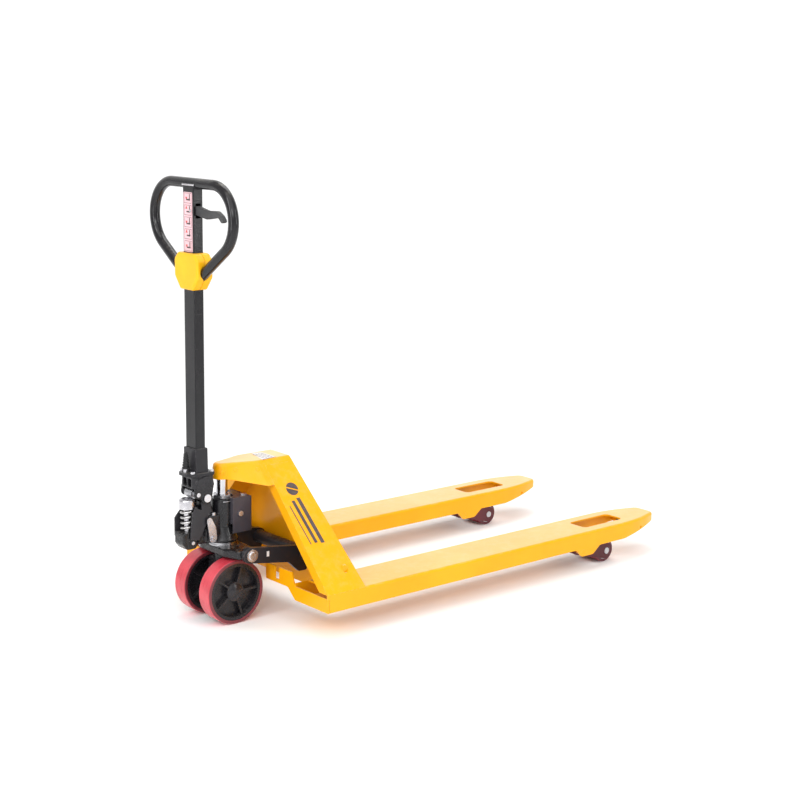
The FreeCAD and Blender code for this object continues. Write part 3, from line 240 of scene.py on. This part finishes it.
def start_material(name, **fixed):
    material = bpy.data.materials.new(name)
    material.use_nodes = True
    tree = material.node_tree
    shader = tree.nodes["Principled BSDF"]
    for label, value in fixed.items():
        shader.inputs[label.replace("_", " ")].default_value = value
    return material, tree, shader


def finish_surface(tree, shader, colour, roughness, height, distance, edge_radius):
    """Feeds colour, roughness and a bump over softly rounded edges into the shader."""
    feed(tree, shader.inputs["Base Color"], colour)
    feed(tree, shader.inputs["Roughness"], roughness)
    soft = add_node(tree, "ShaderNodeBevel", (("Radius", edge_radius),), samples=BEVEL_SAMPLES)
    links = (("Strength", BUMP_STRENGTH), ("Distance", distance), ("Height", height),
             ("Normal", soft.outputs[0]))
    bump = add_node(tree, "ShaderNodeBump", links)
    tree.links.new(bump.outputs[0], shader.inputs["Normal"])


def make_powder_coat(name, light, deep, worn, rough=(0.30, 0.42), gloss=0.25, coat=0.12,
                     wear_share=0.55, painted_sheen=0.0):
    """Powder coat: shade drift, scuffs, dusty tops, edges rubbed thin, and a painted glancing highlight: the
    colour turns cream where a face is seen at a slant.
    """
    material, tree, shader = start_material(name, Coat_Weight=coat, Coat_Roughness=0.10,
                                            Specular_IOR_Level=gloss)
    drift = place_group(tree, COLOUR_DRIFT, Scale=5.0).outputs["Shade"]
    wear = place_group(tree, EDGE_WEAR, Radius=0.0011).outputs["Mask"]
    skin = place_group(tree, PAINT_SKIN)
    marks = place_group(tree, SCUFFS).outputs["Mask"]
    dust = place_group(tree, SETTLED_DUST).outputs["Mask"]
    colour = mix_colour(tree, drift, light, deep)
    colour = tint(tree, colour, skin.outputs["Specks"], 0.25, deep)
    colour = tint(tree, colour, dust, 0.12, SAND_DUST)
    colour = tint(tree, colour, wear, wear_share, worn)
    # Painted glancing highlight: the base colour turns cream by the viewing angle, where the face is seen at
    # a slant.
    if painted_sheen:
        slant = add_node(tree, "ShaderNodeLayerWeight", (("Blend", 0.5),)).outputs["Facing"]
        colour = mix_colour(tree, ramp(tree, slant, 0.58, 0.88, 0.0, painted_sheen), colour, PAINTED_SHEEN_CREAM)
    low, high = rough
    base = ramp(tree, drift, 0.0, 1.0, low, high)
    base = calc(tree, "ADD", base, calc(tree, "MULTIPLY", marks, 0.18))
    finish_surface(tree, shader, colour, base, skin.outputs["Height"], distance=0.00012, edge_radius=0.0011)
    return material


def make_cast_paint(name, light, deep, rough, lump=70.0, depth=0.0012):
    """Thick paint over a casting: lumps, grit, dust and rubbed edges."""
    material, tree, shader = start_material(name, Coat_Weight=0.2, Coat_Roughness=0.1,
                                            Specular_IOR_Level=0.3)
    skin = place_group(tree, CAST_SKIN, Lump_Scale=lump).outputs["Height"]
    drift = place_group(tree, COLOUR_DRIFT, Scale=14.0).outputs["Shade"]
    wear = place_group(tree, EDGE_WEAR, Radius=0.0014, Breakup=140.0).outputs["Mask"]
    dust = place_group(tree, SETTLED_DUST, Scale=70.0).outputs["Mask"]
    colour = mix_colour(tree, drift, light, deep)
    colour = tint(tree, colour, dust, 0.25, GREY_DUST)
    colour = tint(tree, colour, wear, 0.5, RUBBED_IRON)
    low, high = rough
    finish_surface(tree, shader, colour, ramp(tree, skin, 0.3, 0.9, low, high), skin, depth,
                   edge_radius=0.0018)
    return material


def make_metal(name, light, deep, rough=(0.22, 0.38), stretch=(40.0, 2500.0, 40.0), depth=0.00006):
    """Bare or plated steel with fine machining lines."""
    material, tree, shader = start_material(name, Metallic=1.0)
    lines = place_group(tree, FINE_LINES, Stretch=stretch).outputs["Height"]
    drift = place_group(tree, COLOUR_DRIFT, Scale=30.0).outputs["Shade"]
    colour = mix_colour(tree, drift, light, deep)
    low, high = rough
    finish_surface(tree, shader, colour, ramp(tree, lines, 0.3, 0.7, low, high), lines, depth,
                   edge_radius=0.0007)
    return material


def make_moulding(name, light, deep, rough, grit=1800.0, depth=0.00015, coat=0.0, gloss=0.4):
    """Moulded plastic, rubber or film with a fine grain, paler at the edges: partly rubbed wear, partly a
    painted highlight.
    """
    material, tree, shader = start_material(name, Coat_Weight=coat, Coat_Roughness=0.2,
                                            Specular_IOR_Level=gloss)
    skin = place_group(tree, CAST_SKIN, Lump_Scale=240.0, Grit_Scale=grit).outputs["Height"]
    drift = place_group(tree, COLOUR_DRIFT, Scale=18.0).outputs["Shade"]
    wear = place_group(tree, EDGE_WEAR, Radius=0.0010, Breakup=160.0).outputs["Mask"]
    dust = place_group(tree, SETTLED_DUST, Scale=90.0).outputs["Mask"]
    colour = mix_colour(tree, drift, light, deep)
    colour = tint(tree, colour, dust, 0.18, WARM_DUST)
    # Paler edges: partly rubbed wear, partly a painted highlight on rims and ribs.
    pale = tuple(min(1.0, 1.6 * part + 0.03) for part in light[:3])
    colour = tint(tree, colour, wear, 0.35, rgb(*pale))
    low, high = rough
    finish_surface(tree, shader, colour, ramp(tree, skin, 0.3, 0.9, low, high), skin, depth,
                   edge_radius=0.0010)
    return material


def make_tread(name, light, deep, side):
    """Cast polyurethane: slightly milky, with faint rolling bands, grit, and flanks darkened by painted
    shade.
    """
    material, tree, shader = start_material(name, Coat_Weight=0.2, Coat_Roughness=0.25,
                                            Subsurface_Weight=0.08, Subsurface_Scale=0.004)
    bands = place_group(tree, FINE_LINES, Stretch=(18.0, 700.0, 18.0)).outputs["Height"]
    drift = place_group(tree, COLOUR_DRIFT, Scale=22.0).outputs["Shade"]
    marks = place_group(tree, SCUFFS, Stretch=(140.0, 420.0, 140.0)).outputs["Mask"]
    colour = mix_colour(tree, drift, light, deep)
    colour = tint(tree, colour, marks, 0.45, ROLLED_GRIT)
    # Painted shade: faces that look along the axle turn towards the third colour.
    own_normal = add_node(tree, "ShaderNodeTexCoord").outputs["Normal"]
    facing = add_node(tree, "ShaderNodeSeparateXYZ", ((0, own_normal),))
    painted_shade_flank = ramp(tree, calc(tree, "ABSOLUTE", facing.outputs["Y"]), 0.45, 0.9)
    colour = tint(tree, colour, painted_shade_flank, 0.85, side)
    finish_surface(tree, shader, colour, ramp(tree, bands, 0.3, 0.7, 0.26, 0.40), bands,
                   distance=0.00010, edge_radius=0.0012)
    return material


# The yellow's cream at a slant is a painted highlight.
YELLOW = make_powder_coat(
    "yellow powder coat", rgb(0.95, 0.42, 0.002), rgb(0.92, 0.375, 0.001), rgb(0.98, 0.72, 0.25),
    gloss=0.22, painted_sheen=0.6)
BLACK_PAINT = make_powder_coat(
    "black paint", rgb(0.030, 0.029, 0.033), rgb(0.018, 0.017, 0.020), rgb(0.35, 0.34, 0.35),
    rough=(0.28, 0.42))
GLOSS_BLACK = make_powder_coat(
    "gloss black paint", rgb(0.013, 0.012, 0.014), rgb(0.008, 0.008, 0.009), rgb(0.20, 0.19, 0.20),
    rough=(0.12, 0.20), gloss=0.3, coat=0.15, wear_share=0.3)
HUB_YELLOW = make_moulding(
    "yellow moulding", rgb(0.96, 0.50, 0.004), rgb(0.93, 0.45, 0.003),
    rough=(0.3, 0.42), grit=1300.0, depth=0.00008, coat=0.12, gloss=0.3)
MAROON = make_powder_coat(
    "dark red paint", rgb(0.13, 0.018, 0.028), rgb(0.06, 0.010, 0.014), rgb(0.35, 0.30, 0.30),
    rough=(0.28, 0.42))
CAST_BLACK = make_cast_paint(
    "black casting", rgb(0.016, 0.015, 0.018), rgb(0.007, 0.007, 0.008), rough=(0.16, 0.34))
TANK_GREY = make_cast_paint(
    "grey tank paint", rgb(0.060, 0.054, 0.066), rgb(0.040, 0.036, 0.045),
    rough=(0.34, 0.52), lump=45.0, depth=0.0004)
ZINC = make_metal(
    "bright zinc", rgb(0.74, 0.73, 0.75), rgb(0.52, 0.51, 0.54), stretch=(300.0, 300.0, 300.0))
STEEL = make_metal("turned steel", rgb(0.52, 0.52, 0.54), rgb(0.40, 0.40, 0.42))
CHROME = make_metal(
    "ground chrome", rgb(0.70, 0.70, 0.72), rgb(0.50, 0.50, 0.53),
    rough=(0.06, 0.14), stretch=(60.0, 60.0, 2500.0), depth=0.00002)
SPRING_STEEL = make_metal(
    "spring steel", rgb(0.62, 0.61, 0.60), rgb(0.45, 0.44, 0.44),
    rough=(0.25, 0.4), stretch=(500.0, 500.0, 900.0))
# Bright metal on the loop's front and back welds: a painted highlight.
WELD_HIGHLIGHT_METAL = make_metal(
    "weld metal painted highlight", rgb(0.72, 0.70, 0.72), rgb(0.55, 0.53, 0.55),
    rough=(0.25, 0.45), stretch=(300.0, 300.0, 300.0))
# The third colour of each tread is painted shade on its flanks.
TREAD = make_tread(
    "red polyurethane", rgb(0.66, 0.060, 0.085), rgb(0.52, 0.035, 0.055), rgb(0.10, 0.016, 0.024))
# A darker copy of the red tread for the load rollers under the forks: painted shade.
SHADED_ROLLER_TREAD = make_tread(
    "red polyurethane painted shade", rgb(0.30, 0.022, 0.045), rgb(0.20, 0.014, 0.030), rgb(0.08, 0.010, 0.018))
NYLON = make_moulding(
    "black nylon", rgb(0.020, 0.018, 0.021), rgb(0.010, 0.009, 0.011),
    rough=(0.20, 0.32), coat=0.15, gloss=0.3)
GREY_LEVER = make_moulding(
    "dark lever nylon", rgb(0.060, 0.060, 0.062), rgb(0.040, 0.040, 0.042), rough=(0.5, 0.7), grit=1100.0)
RUBBER = make_moulding(
    "black rubber", rgb(0.022, 0.022, 0.023), rgb(0.015, 0.015, 0.016), rough=(0.6, 0.8))
LABEL = make_moulding(
    "pale label film", rgb(0.84, 0.54, 0.58), rgb(0.78, 0.48, 0.52),
    rough=(0.3, 0.4), grit=1500.0, depth=0.00004, coat=0.3)
PALE_FILM = make_moulding(
    "plain white film", rgb(0.80, 0.76, 0.74), rgb(0.74, 0.70, 0.68),
    rough=(0.3, 0.4), grit=1500.0, depth=0.00004)
LABEL_INK = make_moulding(
    "label ink", rgb(0.10, 0.07, 0.07), rgb(0.07, 0.05, 0.05),
    rough=(0.35, 0.45), grit=1500.0, depth=0.00003, coat=0.3)
LABEL_RED = make_moulding(
    "red label ink", rgb(0.62, 0.08, 0.07), rgb(0.55, 0.06, 0.06),
    rough=(0.35, 0.45), grit=1500.0, depth=0.00003)

FINISHES = {
    YELLOW: ("nose_cap", "side_panel_left", "side_panel_right", "load_plate", "heel_plate_left",
             "heel_plate_right", "fork_left", "fork_right", "rocker_shaft", "fork_pins"),
    HUB_YELLOW: ("hub_cover_front", "hub_cover_rear"),
    GLOSS_BLACK: ("pole", "handle_loop"),
    BLACK_PAINT: ("cheek_plates", "rocker_arm_left", "rocker_arm_right", "torsion_tube", "push_rod_left",
                  "push_rod_right", "pole_foot"),
    MAROON: ("roller_bracket_left", "roller_bracket_right"),
    CAST_BLACK: ("pump_casting", "pump_seat", "handle_base"),
    TANK_GREY: ("reservoir",),
    ZINC: ("pump_bolts", "foot_bolts", "hub_screws", "valve_lever", "piston", "handle_pins", "pivot_pin",
           "seat_pins"),
    STEEL: ("crank_pins", "bracket_pins_left", "bracket_pins_right", "load_roller_hub_left",
            "load_roller_hub_right", "thrust_bearing", "gland_nut", "steer_axle", "press_roller", "pull_rod",
            "steer_bearings_left", "steer_bearings_right"),
    CHROME: ("ram",),
    SPRING_STEEL: ("pump_spring",),
    TREAD: ("steer_tread_left", "steer_tread_right"),
    SHADED_ROLLER_TREAD: ("load_roller_tread_left", "load_roller_tread_right"),
    NYLON: ("steer_hub_left", "steer_hub_right", "entry_roller_left", "entry_roller_right"),
    GREY_LEVER: ("control_lever",),
    RUBBER: ("rubber_buffer",),
}


def paint(obj, material):
    obj.data.materials.clear()
    obj.data.materials.append(material)


def paint_frame():
    for material, names in FINISHES.items():
        for name in names:
            paint(NODES[name], material)


# ---------------------------------------------------------------- mesh pieces
def new_piece(name, bm, material, body, smooth=True):
    mesh = bpy.data.meshes.new(name)
    bm.to_mesh(mesh)
    bm.free()
    for face in mesh.polygons:
        face.use_smooth = smooth
    obj = bpy.data.objects.new(name, mesh)
    bpy.context.scene.collection.objects.link(obj)
    paint(obj, material)
    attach(obj, body)
    return obj


def apply_modifiers(obj):
    bpy.context.view_layer.update()
    graph = bpy.context.evaluated_depsgraph_get()
    mesh = bpy.data.meshes.new_from_object(obj.evaluated_get(graph))
    obj.modifiers.clear()
    obj.data = mesh


def soften(name, node, material, body, voxel, smooth_steps, lumps=0.0):
    """A cast or moulded skin over a CAD node: sharp edges and corners melt together."""
    mesh = NODES[node].data.copy()
    obj = bpy.data.objects.new(name, mesh)
    bpy.context.scene.collection.objects.link(obj)
    remesh = obj.modifiers.new("skin", "REMESH")
    remesh.mode = "VOXEL"
    remesh.voxel_size = voxel
    relax = obj.modifiers.new("melt", "SMOOTH")
    relax.factor = 0.5
    relax.iterations = smooth_steps
    apply_modifiers(obj)
    if lumps:
        for vertex in obj.data.vertices:
            swell = noise.noise(vertex.co * 60.0) * lumps
            vertex.co += vertex.normal * swell
    for face in obj.data.polygons:
        face.use_smooth = True
    paint(obj, material)
    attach(obj, body)
    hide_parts(node)
    return obj


def slab(bm, corners, place, thickness):
    """A thin plate: corners (a, b) set out by place(a, b, depth)."""
    low = [bm.verts.new(place(a, b, 0.0)) for a, b in corners]
    high = [bm.verts.new(place(a, b, thickness)) for a, b in corners]
    bm.faces.new(list(reversed(low)))
    bm.faces.new(high)
    count = len(corners)
    for index in range(count):
        after = (index + 1) % count
        bm.faces.new((low[index], low[after], high[after], high[index]))


def rounded_rectangle(centre, half, radius, steps=4):
    corners = []
    for sx, sy, start in ((1, 1, 0), (-1, 1, 90), (-1, -1, 180), (1, -1, 270)):
        for step in range(steps + 1):
            angle = math.radians(start + 90 * step / steps)
            corners.append((centre[0] + sx * (half[0] - radius) + radius * math.cos(angle),
                            centre[1] + sy * (half[1] - radius) + radius * math.sin(angle)))
    return corners


# A weld's scales: how far apart and how long they are, as shares of the bead's radius.
SCALE_PITCH = 0.75
SCALE_SQUASH = 0.75


def weld_bead(name, points, radius, body, material):
    """A run of overlapping scales along a path, as a hand weld leaves."""
    bm = bmesh.new()
    path = [Vector(point) for point in points]
    lengths = [(b - a).length for a, b in zip(path, path[1:])]
    total = sum(lengths)
    count = max(3, int(total / (radius * SCALE_PITCH)))
    for index in range(count + 1):
        run = total * index / count
        step = 0
        while step < len(lengths) - 1 and run > lengths[step]:
            run -= lengths[step]
            step += 1
        along = (path[step + 1] - path[step]).normalized()
        centre = path[step] + along * min(run, lengths[step])
        size = radius * (0.9 + 0.2 * noise.noise(centre * 300.0))
        turn = along.to_track_quat("X", "Z").to_matrix().to_4x4()
        shape = Matrix.Translation(centre) @ turn @ Matrix.Diagonal((SCALE_SQUASH, 1.0, 1.0, 1.0))
        bmesh.ops.create_icosphere(bm, subdivisions=2, radius=size, matrix=shape)
    return new_piece(name, bm, material, body)


def arc_points(centre, radius, start, end, steps, axis_a, axis_b):
    points = []
    for step in range(steps + 1):
        angle = math.radians(start + (end - start) * step / steps)
        points.append(Vector(centre) + Vector(axis_a) * radius * math.cos(angle)
                      + Vector(axis_b) * radius * math.sin(angle))
    return points


def add_castings():
    soften("pump_body_casting", "pump_casting", CAST_BLACK, "steer_unit",
           voxel=0.0022, smooth_steps=6, lumps=0.0006)
    soften("pump_seat_casting", "pump_seat", CAST_BLACK, "base",
           voxel=0.0022, smooth_steps=6, lumps=0.0005)
    soften("handle_foot_casting", "handle_base", CAST_BLACK, "handle",
           voxel=0.0018, smooth_steps=5, lumps=0.0004)
    soften("grip_lever_moulding", "control_lever", GREY_LEVER, "control_lever",
           voxel=0.0014, smooth_steps=8)
    soften("hub_shell_front", "hub_cover_front", HUB_YELLOW, "handle",
           voxel=0.0011, smooth_steps=14)
    soften("hub_shell_rear", "hub_cover_rear", HUB_YELLOW, "handle",
           voxel=0.0011, smooth_steps=14)


# ---------------------------------------------------------------- labels and marks
def on_pole_front(across, height, depth):
    return (POLE_FRONT_X - FILM_GAP - depth, across, height)


def on_pole_label(across, height, depth):
    return (POLE_FRONT_X - INK_GAP - depth, across, height)


def on_pole_side(along, height, depth):
    return (STEER_X + along, -POLE_HALF_Y - FILM_GAP - depth, height)


def on_cap(along, across, depth):
    return (STEER_X + along, across, CAP_FILM_Z + depth)


def on_cap_sticker(along, across, depth):
    return on_cap(along, across, depth + STICKER_GAP)


def on_rocker_arm(along, height, depth):
    return (STEER_X + along, ARM_FACE_Y - depth, height)


def on_near_panel(along, down, depth):
    """A point on the near side panel: X from the steering axis, distance down from the crest, height."""
    slope = (PANEL_CREST[0] - PANEL_FOOT[0]) / (PANEL_CREST[1] - PANEL_FOOT[1])
    length = math.hypot(1.0, slope)
    y = PANEL_CREST[0] - down * slope / length
    z = PANEL_CREST[1] - down / length
    off = depth + STICKER_GAP
    return (along + STEER_X, y - off / length, z + off * slope / length)


def add_film(name, outlines, place, thickness, material, body):
    """A sticker, a mark or a strap: one thin slab for each outline."""
    bm = bmesh.new()
    for outline in outlines:
        slab(bm, outline, place, thickness)
    bmesh.ops.recalc_face_normals(bm, faces=bm.faces)
    new_piece(name, bm, material, body, False)


LABEL_LOW_Z = 1.020
LABEL_HIGH_Z = 1.176
LABEL_HALF_WIDTH = 0.0205
LABEL_PANELS = 5
PANEL_BORDER_Y = 0.0165
HALF_LINE = 0.0006


def add_pole_label():
    """A pale strip down the pole's front with plain picture panels."""
    bm = bmesh.new()
    centre = (0, (LABEL_LOW_Z + LABEL_HIGH_Z) / 2)
    half = (LABEL_HALF_WIDTH, (LABEL_HIGH_Z - LABEL_LOW_Z) / 2)
    slab(bm, rounded_rectangle(centre, half, 0.003), on_pole_front, FILM_THICKNESS)
    new_piece("pole_label_film", bm, LABEL, "handle", False)
    ink = bmesh.new()
    red = bmesh.new()
    pitch = (LABEL_HIGH_Z - LABEL_LOW_Z) / LABEL_PANELS
    for index in range(LABEL_PANELS):
        z = LABEL_LOW_Z + pitch * (index + 0.5)
        strokes = []
        for side in (-1, 1):
            strokes.append(((side * PANEL_BORDER_Y, z), (HALF_LINE, pitch * 0.42), 0.0004))
            strokes.append(((0, z + side * pitch * 0.41), (PANEL_BORDER_Y, HALF_LINE), 0.0004))
        strokes.append(((-0.002, z - 0.004), (0.009, 0.0022), 0.001))
        strokes.append(((-0.008, z + 0.003), (0.0022, 0.008), 0.001))
        for middle, reach, corner in strokes:
            slab(ink, rounded_rectangle(middle, reach, corner, 2), on_pole_label, INK_THICKNESS)
        tip = 1 if index % 2 else -1
        arrow = [(0.007, z + 0.003 + tip * 0.009), (0.012, z + 0.003), (0.002, z + 0.003)]
        if tip < 0:
            arrow.reverse()
        slab(red, arrow, on_pole_label, INK_THICKNESS)
    new_piece("label_panels", ink, LABEL_INK, "handle", False)
    new_piece("label_arrows", red, LABEL_RED, "handle", False)


# The mark on the side panel: (X from the steering axis, distance down from the crest).
MARK_CENTRE = (0.1535, 0.104)
MARK_RADIUS = 0.0185
MARK_SPLIT = 0.002
MARK_BARS = ((0.152, 0.164, 0.134, 0.280), (0.133, 0.143, 0.140, 0.276), (0.119, 0.122, 0.154, 0.278))
BAR_LEAN = 0.075


def half_disc(start):
    """Half of the mark's disc, from an angle on, moved away from the split."""
    away = math.radians(start + 90)
    corners = []
    for step in range(13):
        angle = math.radians(start + step * 15)
        corners.append((MARK_CENTRE[0] + MARK_RADIUS * math.cos(angle) + MARK_SPLIT * math.cos(away),
                        MARK_CENTRE[1] + MARK_RADIUS * math.sin(angle) + MARK_SPLIT * math.sin(away)))
    return corners


def add_panel_mark():
    """A plain dark device on the side panel: a split disc over three bars."""
    outlines = [half_disc(25), half_disc(205)]
    for near, far, top, low in MARK_BARS:
        lean = BAR_LEAN * (low - top)
        outlines.append([(near, top), (far, top), (far + lean, low), (near + lean, low)])
    add_film("panel_mark", outlines, on_near_panel, STICKER_THICKNESS, LABEL_INK, "frame")


# The cap's sticker: (X from the steering axis, Y), with a band along one edge and lines beside it.
CAP_STICKER = [(0.104, -0.047), (0.156, -0.041), (0.154, 0.028), (0.126, 0.039)]
CAP_BAND = [(0.104, -0.047), (0.156, -0.041), (0.1535, -0.038), (0.106, -0.0435)]
CAP_LINE_COUNT = 4
CAP_LINE_START = 0.118
CAP_LINE_PITCH = 0.009
CAP_LINE_WIDTH = 0.0022
CAP_LINE_ENDS = (-0.034, 0.020)


def add_small_labels():
    """Plain stickers: on the nose cap, on a rocker arm and on the pole's side."""
    add_film("cap_sticker", [CAP_STICKER], on_cap, STICKER_THICKNESS, PALE_FILM, "frame")
    lines = [CAP_BAND]
    near, far = CAP_LINE_ENDS
    for step in range(CAP_LINE_COUNT):
        x = CAP_LINE_START + CAP_LINE_PITCH * step
        lines.append([(x, near), (x + CAP_LINE_WIDTH, near), (x + CAP_LINE_WIDTH, far), (x, far)])
    add_film("cap_sticker_lines", lines, on_cap_sticker, INK_THICKNESS, LABEL_INK, "frame")
    arm_outline = rounded_rectangle((0.0705, 0.192), (0.0042, 0.0075), 0.001, 2)
    add_film("arm_sticker", [arm_outline], on_rocker_arm, STICKER_THICKNESS, PALE_FILM, "rocker")
    pole_outline = rounded_rectangle((-0.0825, 1.100), (0.0065, 0.0085), 0.001, 2)
    add_film("pole_sticker", [pole_outline], on_pole_side, STICKER_THICKNESS, GREY_LEVER, "handle")


# ---------------------------------------------------------------- welds and strap
WELD_OFF_POLE = 0.0145
WELD_DROP = 0.004


def add_welds():
    """Beads where the pole meets the loop: bright metal in front and behind as a painted highlight, gloss
    black at the sides.
    """
    reach = POLE_HALF_Y + 0.001
    for name, x in (("loop_weld_front", POLE_X - WELD_OFF_POLE), ("loop_weld_back", POLE_X + WELD_OFF_POLE)):
        points = [(x, -reach, HANDLE_TOP_Z - WELD_DROP), (x, reach, HANDLE_TOP_Z - WELD_DROP)]
        weld_bead(name, points, 0.0028, "handle", WELD_HIGHLIGHT_METAL)
    for side, label in ((1, "left"), (-1, "right")):
        centre = (POLE_X, side * reach, HANDLE_TOP_Z)
        points = arc_points(centre, LOOP_RADIUS + 0.0005, 195, 345, 10, (1, 0, 0), (0, 0, 1))
        weld_bead("loop_weld_" + label, points, 0.0026, "handle", GLOSS_BLACK)


# Weld marks on the cap's near skirt: (X from the steering axis, height).
DIMPLE_PLACES = ((-0.012, 0.414), (0.022, 0.420), (0.078, 0.418))
DIMPLE_RADIUS = 0.0065
DIMPLE_HEIGHT = 0.22
OUTSIDE_Y = -0.5


def add_cap_dimples():
    """Low round weld marks, each set where a line from outside meets the cap's near skirt."""
    bm = bmesh.new()
    mesh = NODES["nose_cap"]
    turn = mesh.matrix_world.inverted()
    for x, z in DIMPLE_PLACES:
        start = Vector((STEER_X + x, OUTSIDE_Y, z))
        hit, place, normal, _ = mesh.ray_cast(turn @ start, turn.to_3x3() @ Vector((0, 1, 0)))
        if not hit:
            continue
        place = mesh.matrix_world @ place
        normal = (mesh.matrix_world.to_3x3() @ normal).normalized()
        spin = normal.to_track_quat("Z", "Y").to_matrix().to_4x4()
        shape = Matrix.Translation(place) @ spin @ Matrix.Diagonal((1.0, 1.0, DIMPLE_HEIGHT, 1.0))
        bmesh.ops.create_icosphere(bm, subdivisions=3, radius=DIMPLE_RADIUS, matrix=shape)
    new_piece("cap_dimples", bm, YELLOW, "frame")


def add_strap_band(name, inner, outer, top, tall, material):
    """A band round the front of the cylinder, in short straight lengths that overlap a little."""
    def upright(along, across, height):
        return (STEER_X + along, across, top - tall + height)

    outlines = []
    for turn in range(-118, -29, 11):
        start = math.radians(turn)
        end = math.radians(turn + 11.2)
        ends = ((inner, start), (inner, end), (outer, end), (outer, start))
        outlines.append([(radius * math.cos(angle), radius * math.sin(angle)) for radius, angle in ends])
    add_film(name, outlines, upright, tall, material, "steer_unit")


def add_tank_bracket():
    """Bent strap between the cylinder and the tank, with a thin bright zinc band along its top edge."""
    add_strap_band("tank_strap", 0.0312, 0.0335, 0.332, 0.060, CAST_BLACK)
    add_strap_band("tank_strap_edge", 0.0336, 0.0348, 0.3345, 0.0016, ZINC)


# ---------------------------------------------------------------- stage, lights and camera
FLOOR_REACH = 30.0
SWEEP_START = 6.0
SWEEP_RADIUS = 5.0
BACKDROP_TOP = 16.0


def add_stage():
    """A pale floor that sweeps up into a backdrop behind the truck."""
    bm = bmesh.new()
    across = Vector((0.76, -0.65, 0.0))
    behind = Vector((0.65, 0.76, 0.0))
    profile = [(-FLOOR_REACH, 0.0), (SWEEP_START, 0.0)]
    for turn in range(6, 91, 6):
        angle = math.radians(turn)
        profile.append((SWEEP_START + SWEEP_RADIUS * math.sin(angle),
                        SWEEP_RADIUS - SWEEP_RADIUS * math.cos(angle)))
    profile.append((SWEEP_START + SWEEP_RADIUS, BACKDROP_TOP))
    rows = []
    for run, height in profile:
        middle = behind * run
        rows.append([bm.verts.new(middle + across * side + Vector((0, 0, height)))
                     for side in (-FLOOR_REACH, FLOOR_REACH)])
    for low, high in zip(rows, rows[1:]):
        bm.faces.new((low[0], low[1], high[1], high[0]))
    mesh = bpy.data.meshes.new("studio_floor")
    bm.normal_update()
    bm.to_mesh(mesh)
    bm.free()
    for face in mesh.polygons:
        face.use_smooth = True
    floor = bpy.data.objects.new("studio_floor", mesh)
    floor.location = (0, 0, -0.0005)
    bpy.context.scene.collection.objects.link(floor)
    material, _, shader = start_material("studio_floor", Roughness=0.9, Specular_IOR_Level=0.0)
    shader.inputs["Base Color"].default_value = rgb(0.97, 0.97, 0.97)
    paint(floor, material)


def add_light(name, place, target, size, power):
    light = bpy.data.lights.new(name, "AREA")
    light.shape = "RECTANGLE"
    light.size, light.size_y = size
    light.energy = power
    obj = bpy.data.objects.new(name, light)
    obj.location = place
    aim = Vector(target) - Vector(place)
    obj.rotation_euler = aim.to_track_quat("-Z", "Y").to_euler()
    bpy.context.scene.collection.objects.link(obj)


def add_sun(name, towards, strength, spread):
    light = bpy.data.lights.new(name, "SUN")
    light.energy = strength
    light.angle = math.radians(spread)
    obj = bpy.data.objects.new(name, light)
    obj.rotation_euler = Vector(towards).to_track_quat("-Z", "Y").to_euler()
    bpy.context.scene.collection.objects.link(obj)


# Each soft light's name, place, the point it faces, size and power in watts.
SOFT_LIGHTS = (
    ("left strip", (-2.6, -0.4, 1.5), (-0.7, 0, 0.8), (0.22, 2.2), 16),
    ("right strip", (0.9, -3.0, 1.7), (-0.7, 0, 0.8), (0.22, 2.2), 20),
    ("front softbox", (-3.2, -2.6, 2.4), (-0.5, 0, 0.4), (0.7, 0.7), 18),
    ("top softbox", (0.2, 0.4, 3.2), (0, 0, 0), (2.0, 1.2), 26),
)
KEY_TOWARDS = (0.50, 0.62, -0.75)
KEY_STRENGTH = 1.35
KEY_SPREAD = 70.0
ROOM_STRENGTH = 0.62


def add_lights():
    """A broad sun, four soft lights and an even white room."""
    add_sun("broad key", KEY_TOWARDS, KEY_STRENGTH, KEY_SPREAD)
    for name, place, target, size, power in SOFT_LIGHTS:
        add_light(name, place, target, size, power)
    world = bpy.data.worlds.new("studio")
    world.use_nodes = True
    background = world.node_tree.nodes["Background"]
    background.inputs["Color"].default_value = rgb(1.0, 1.0, 1.0)
    background.inputs["Strength"].default_value = ROOM_STRENGTH
    bpy.context.scene.world = world
    bpy.context.scene.view_settings.view_transform = "Standard"


CAMERA_PLACE = Vector((-3.0602, -3.5676, 1.4764))
CAMERA_AIM = Vector((-0.0185, 0.0, 0.5347))
CAMERA_LENS = 72.25
CAMERA_SENSOR = 36.0
CAMERA_FAR = 100.0
CAMERA_ROLL = math.radians(0.79)


def add_camera():
    data = bpy.data.cameras.new("studio camera")
    data.lens = CAMERA_LENS
    data.sensor_width = CAMERA_SENSOR
    data.clip_end = CAMERA_FAR
    ahead = (CAMERA_AIM - CAMERA_PLACE).normalized()
    level = ahead.cross(Vector((0, 0, 1))).normalized()
    upright = level.cross(ahead)
    right = level * math.cos(CAMERA_ROLL) + upright * math.sin(CAMERA_ROLL)
    up = upright * math.cos(CAMERA_ROLL) - level * math.sin(CAMERA_ROLL)
    turn = Matrix((right, up, -ahead)).transposed().to_4x4()
    camera = bpy.data.objects.new("studio camera", data)
    camera.matrix_world = Matrix.Translation(CAMERA_PLACE) @ turn
    bpy.context.scene.collection.objects.link(camera)
    bpy.context.scene.camera = camera


def main():
    paint_frame()
    add_castings()
    add_pole_label()
    add_panel_mark()
    add_small_labels()
    add_welds()
    add_cap_dimples()
    add_tank_bracket()
    add_stage()
    add_lights()
    add_camera()


main()
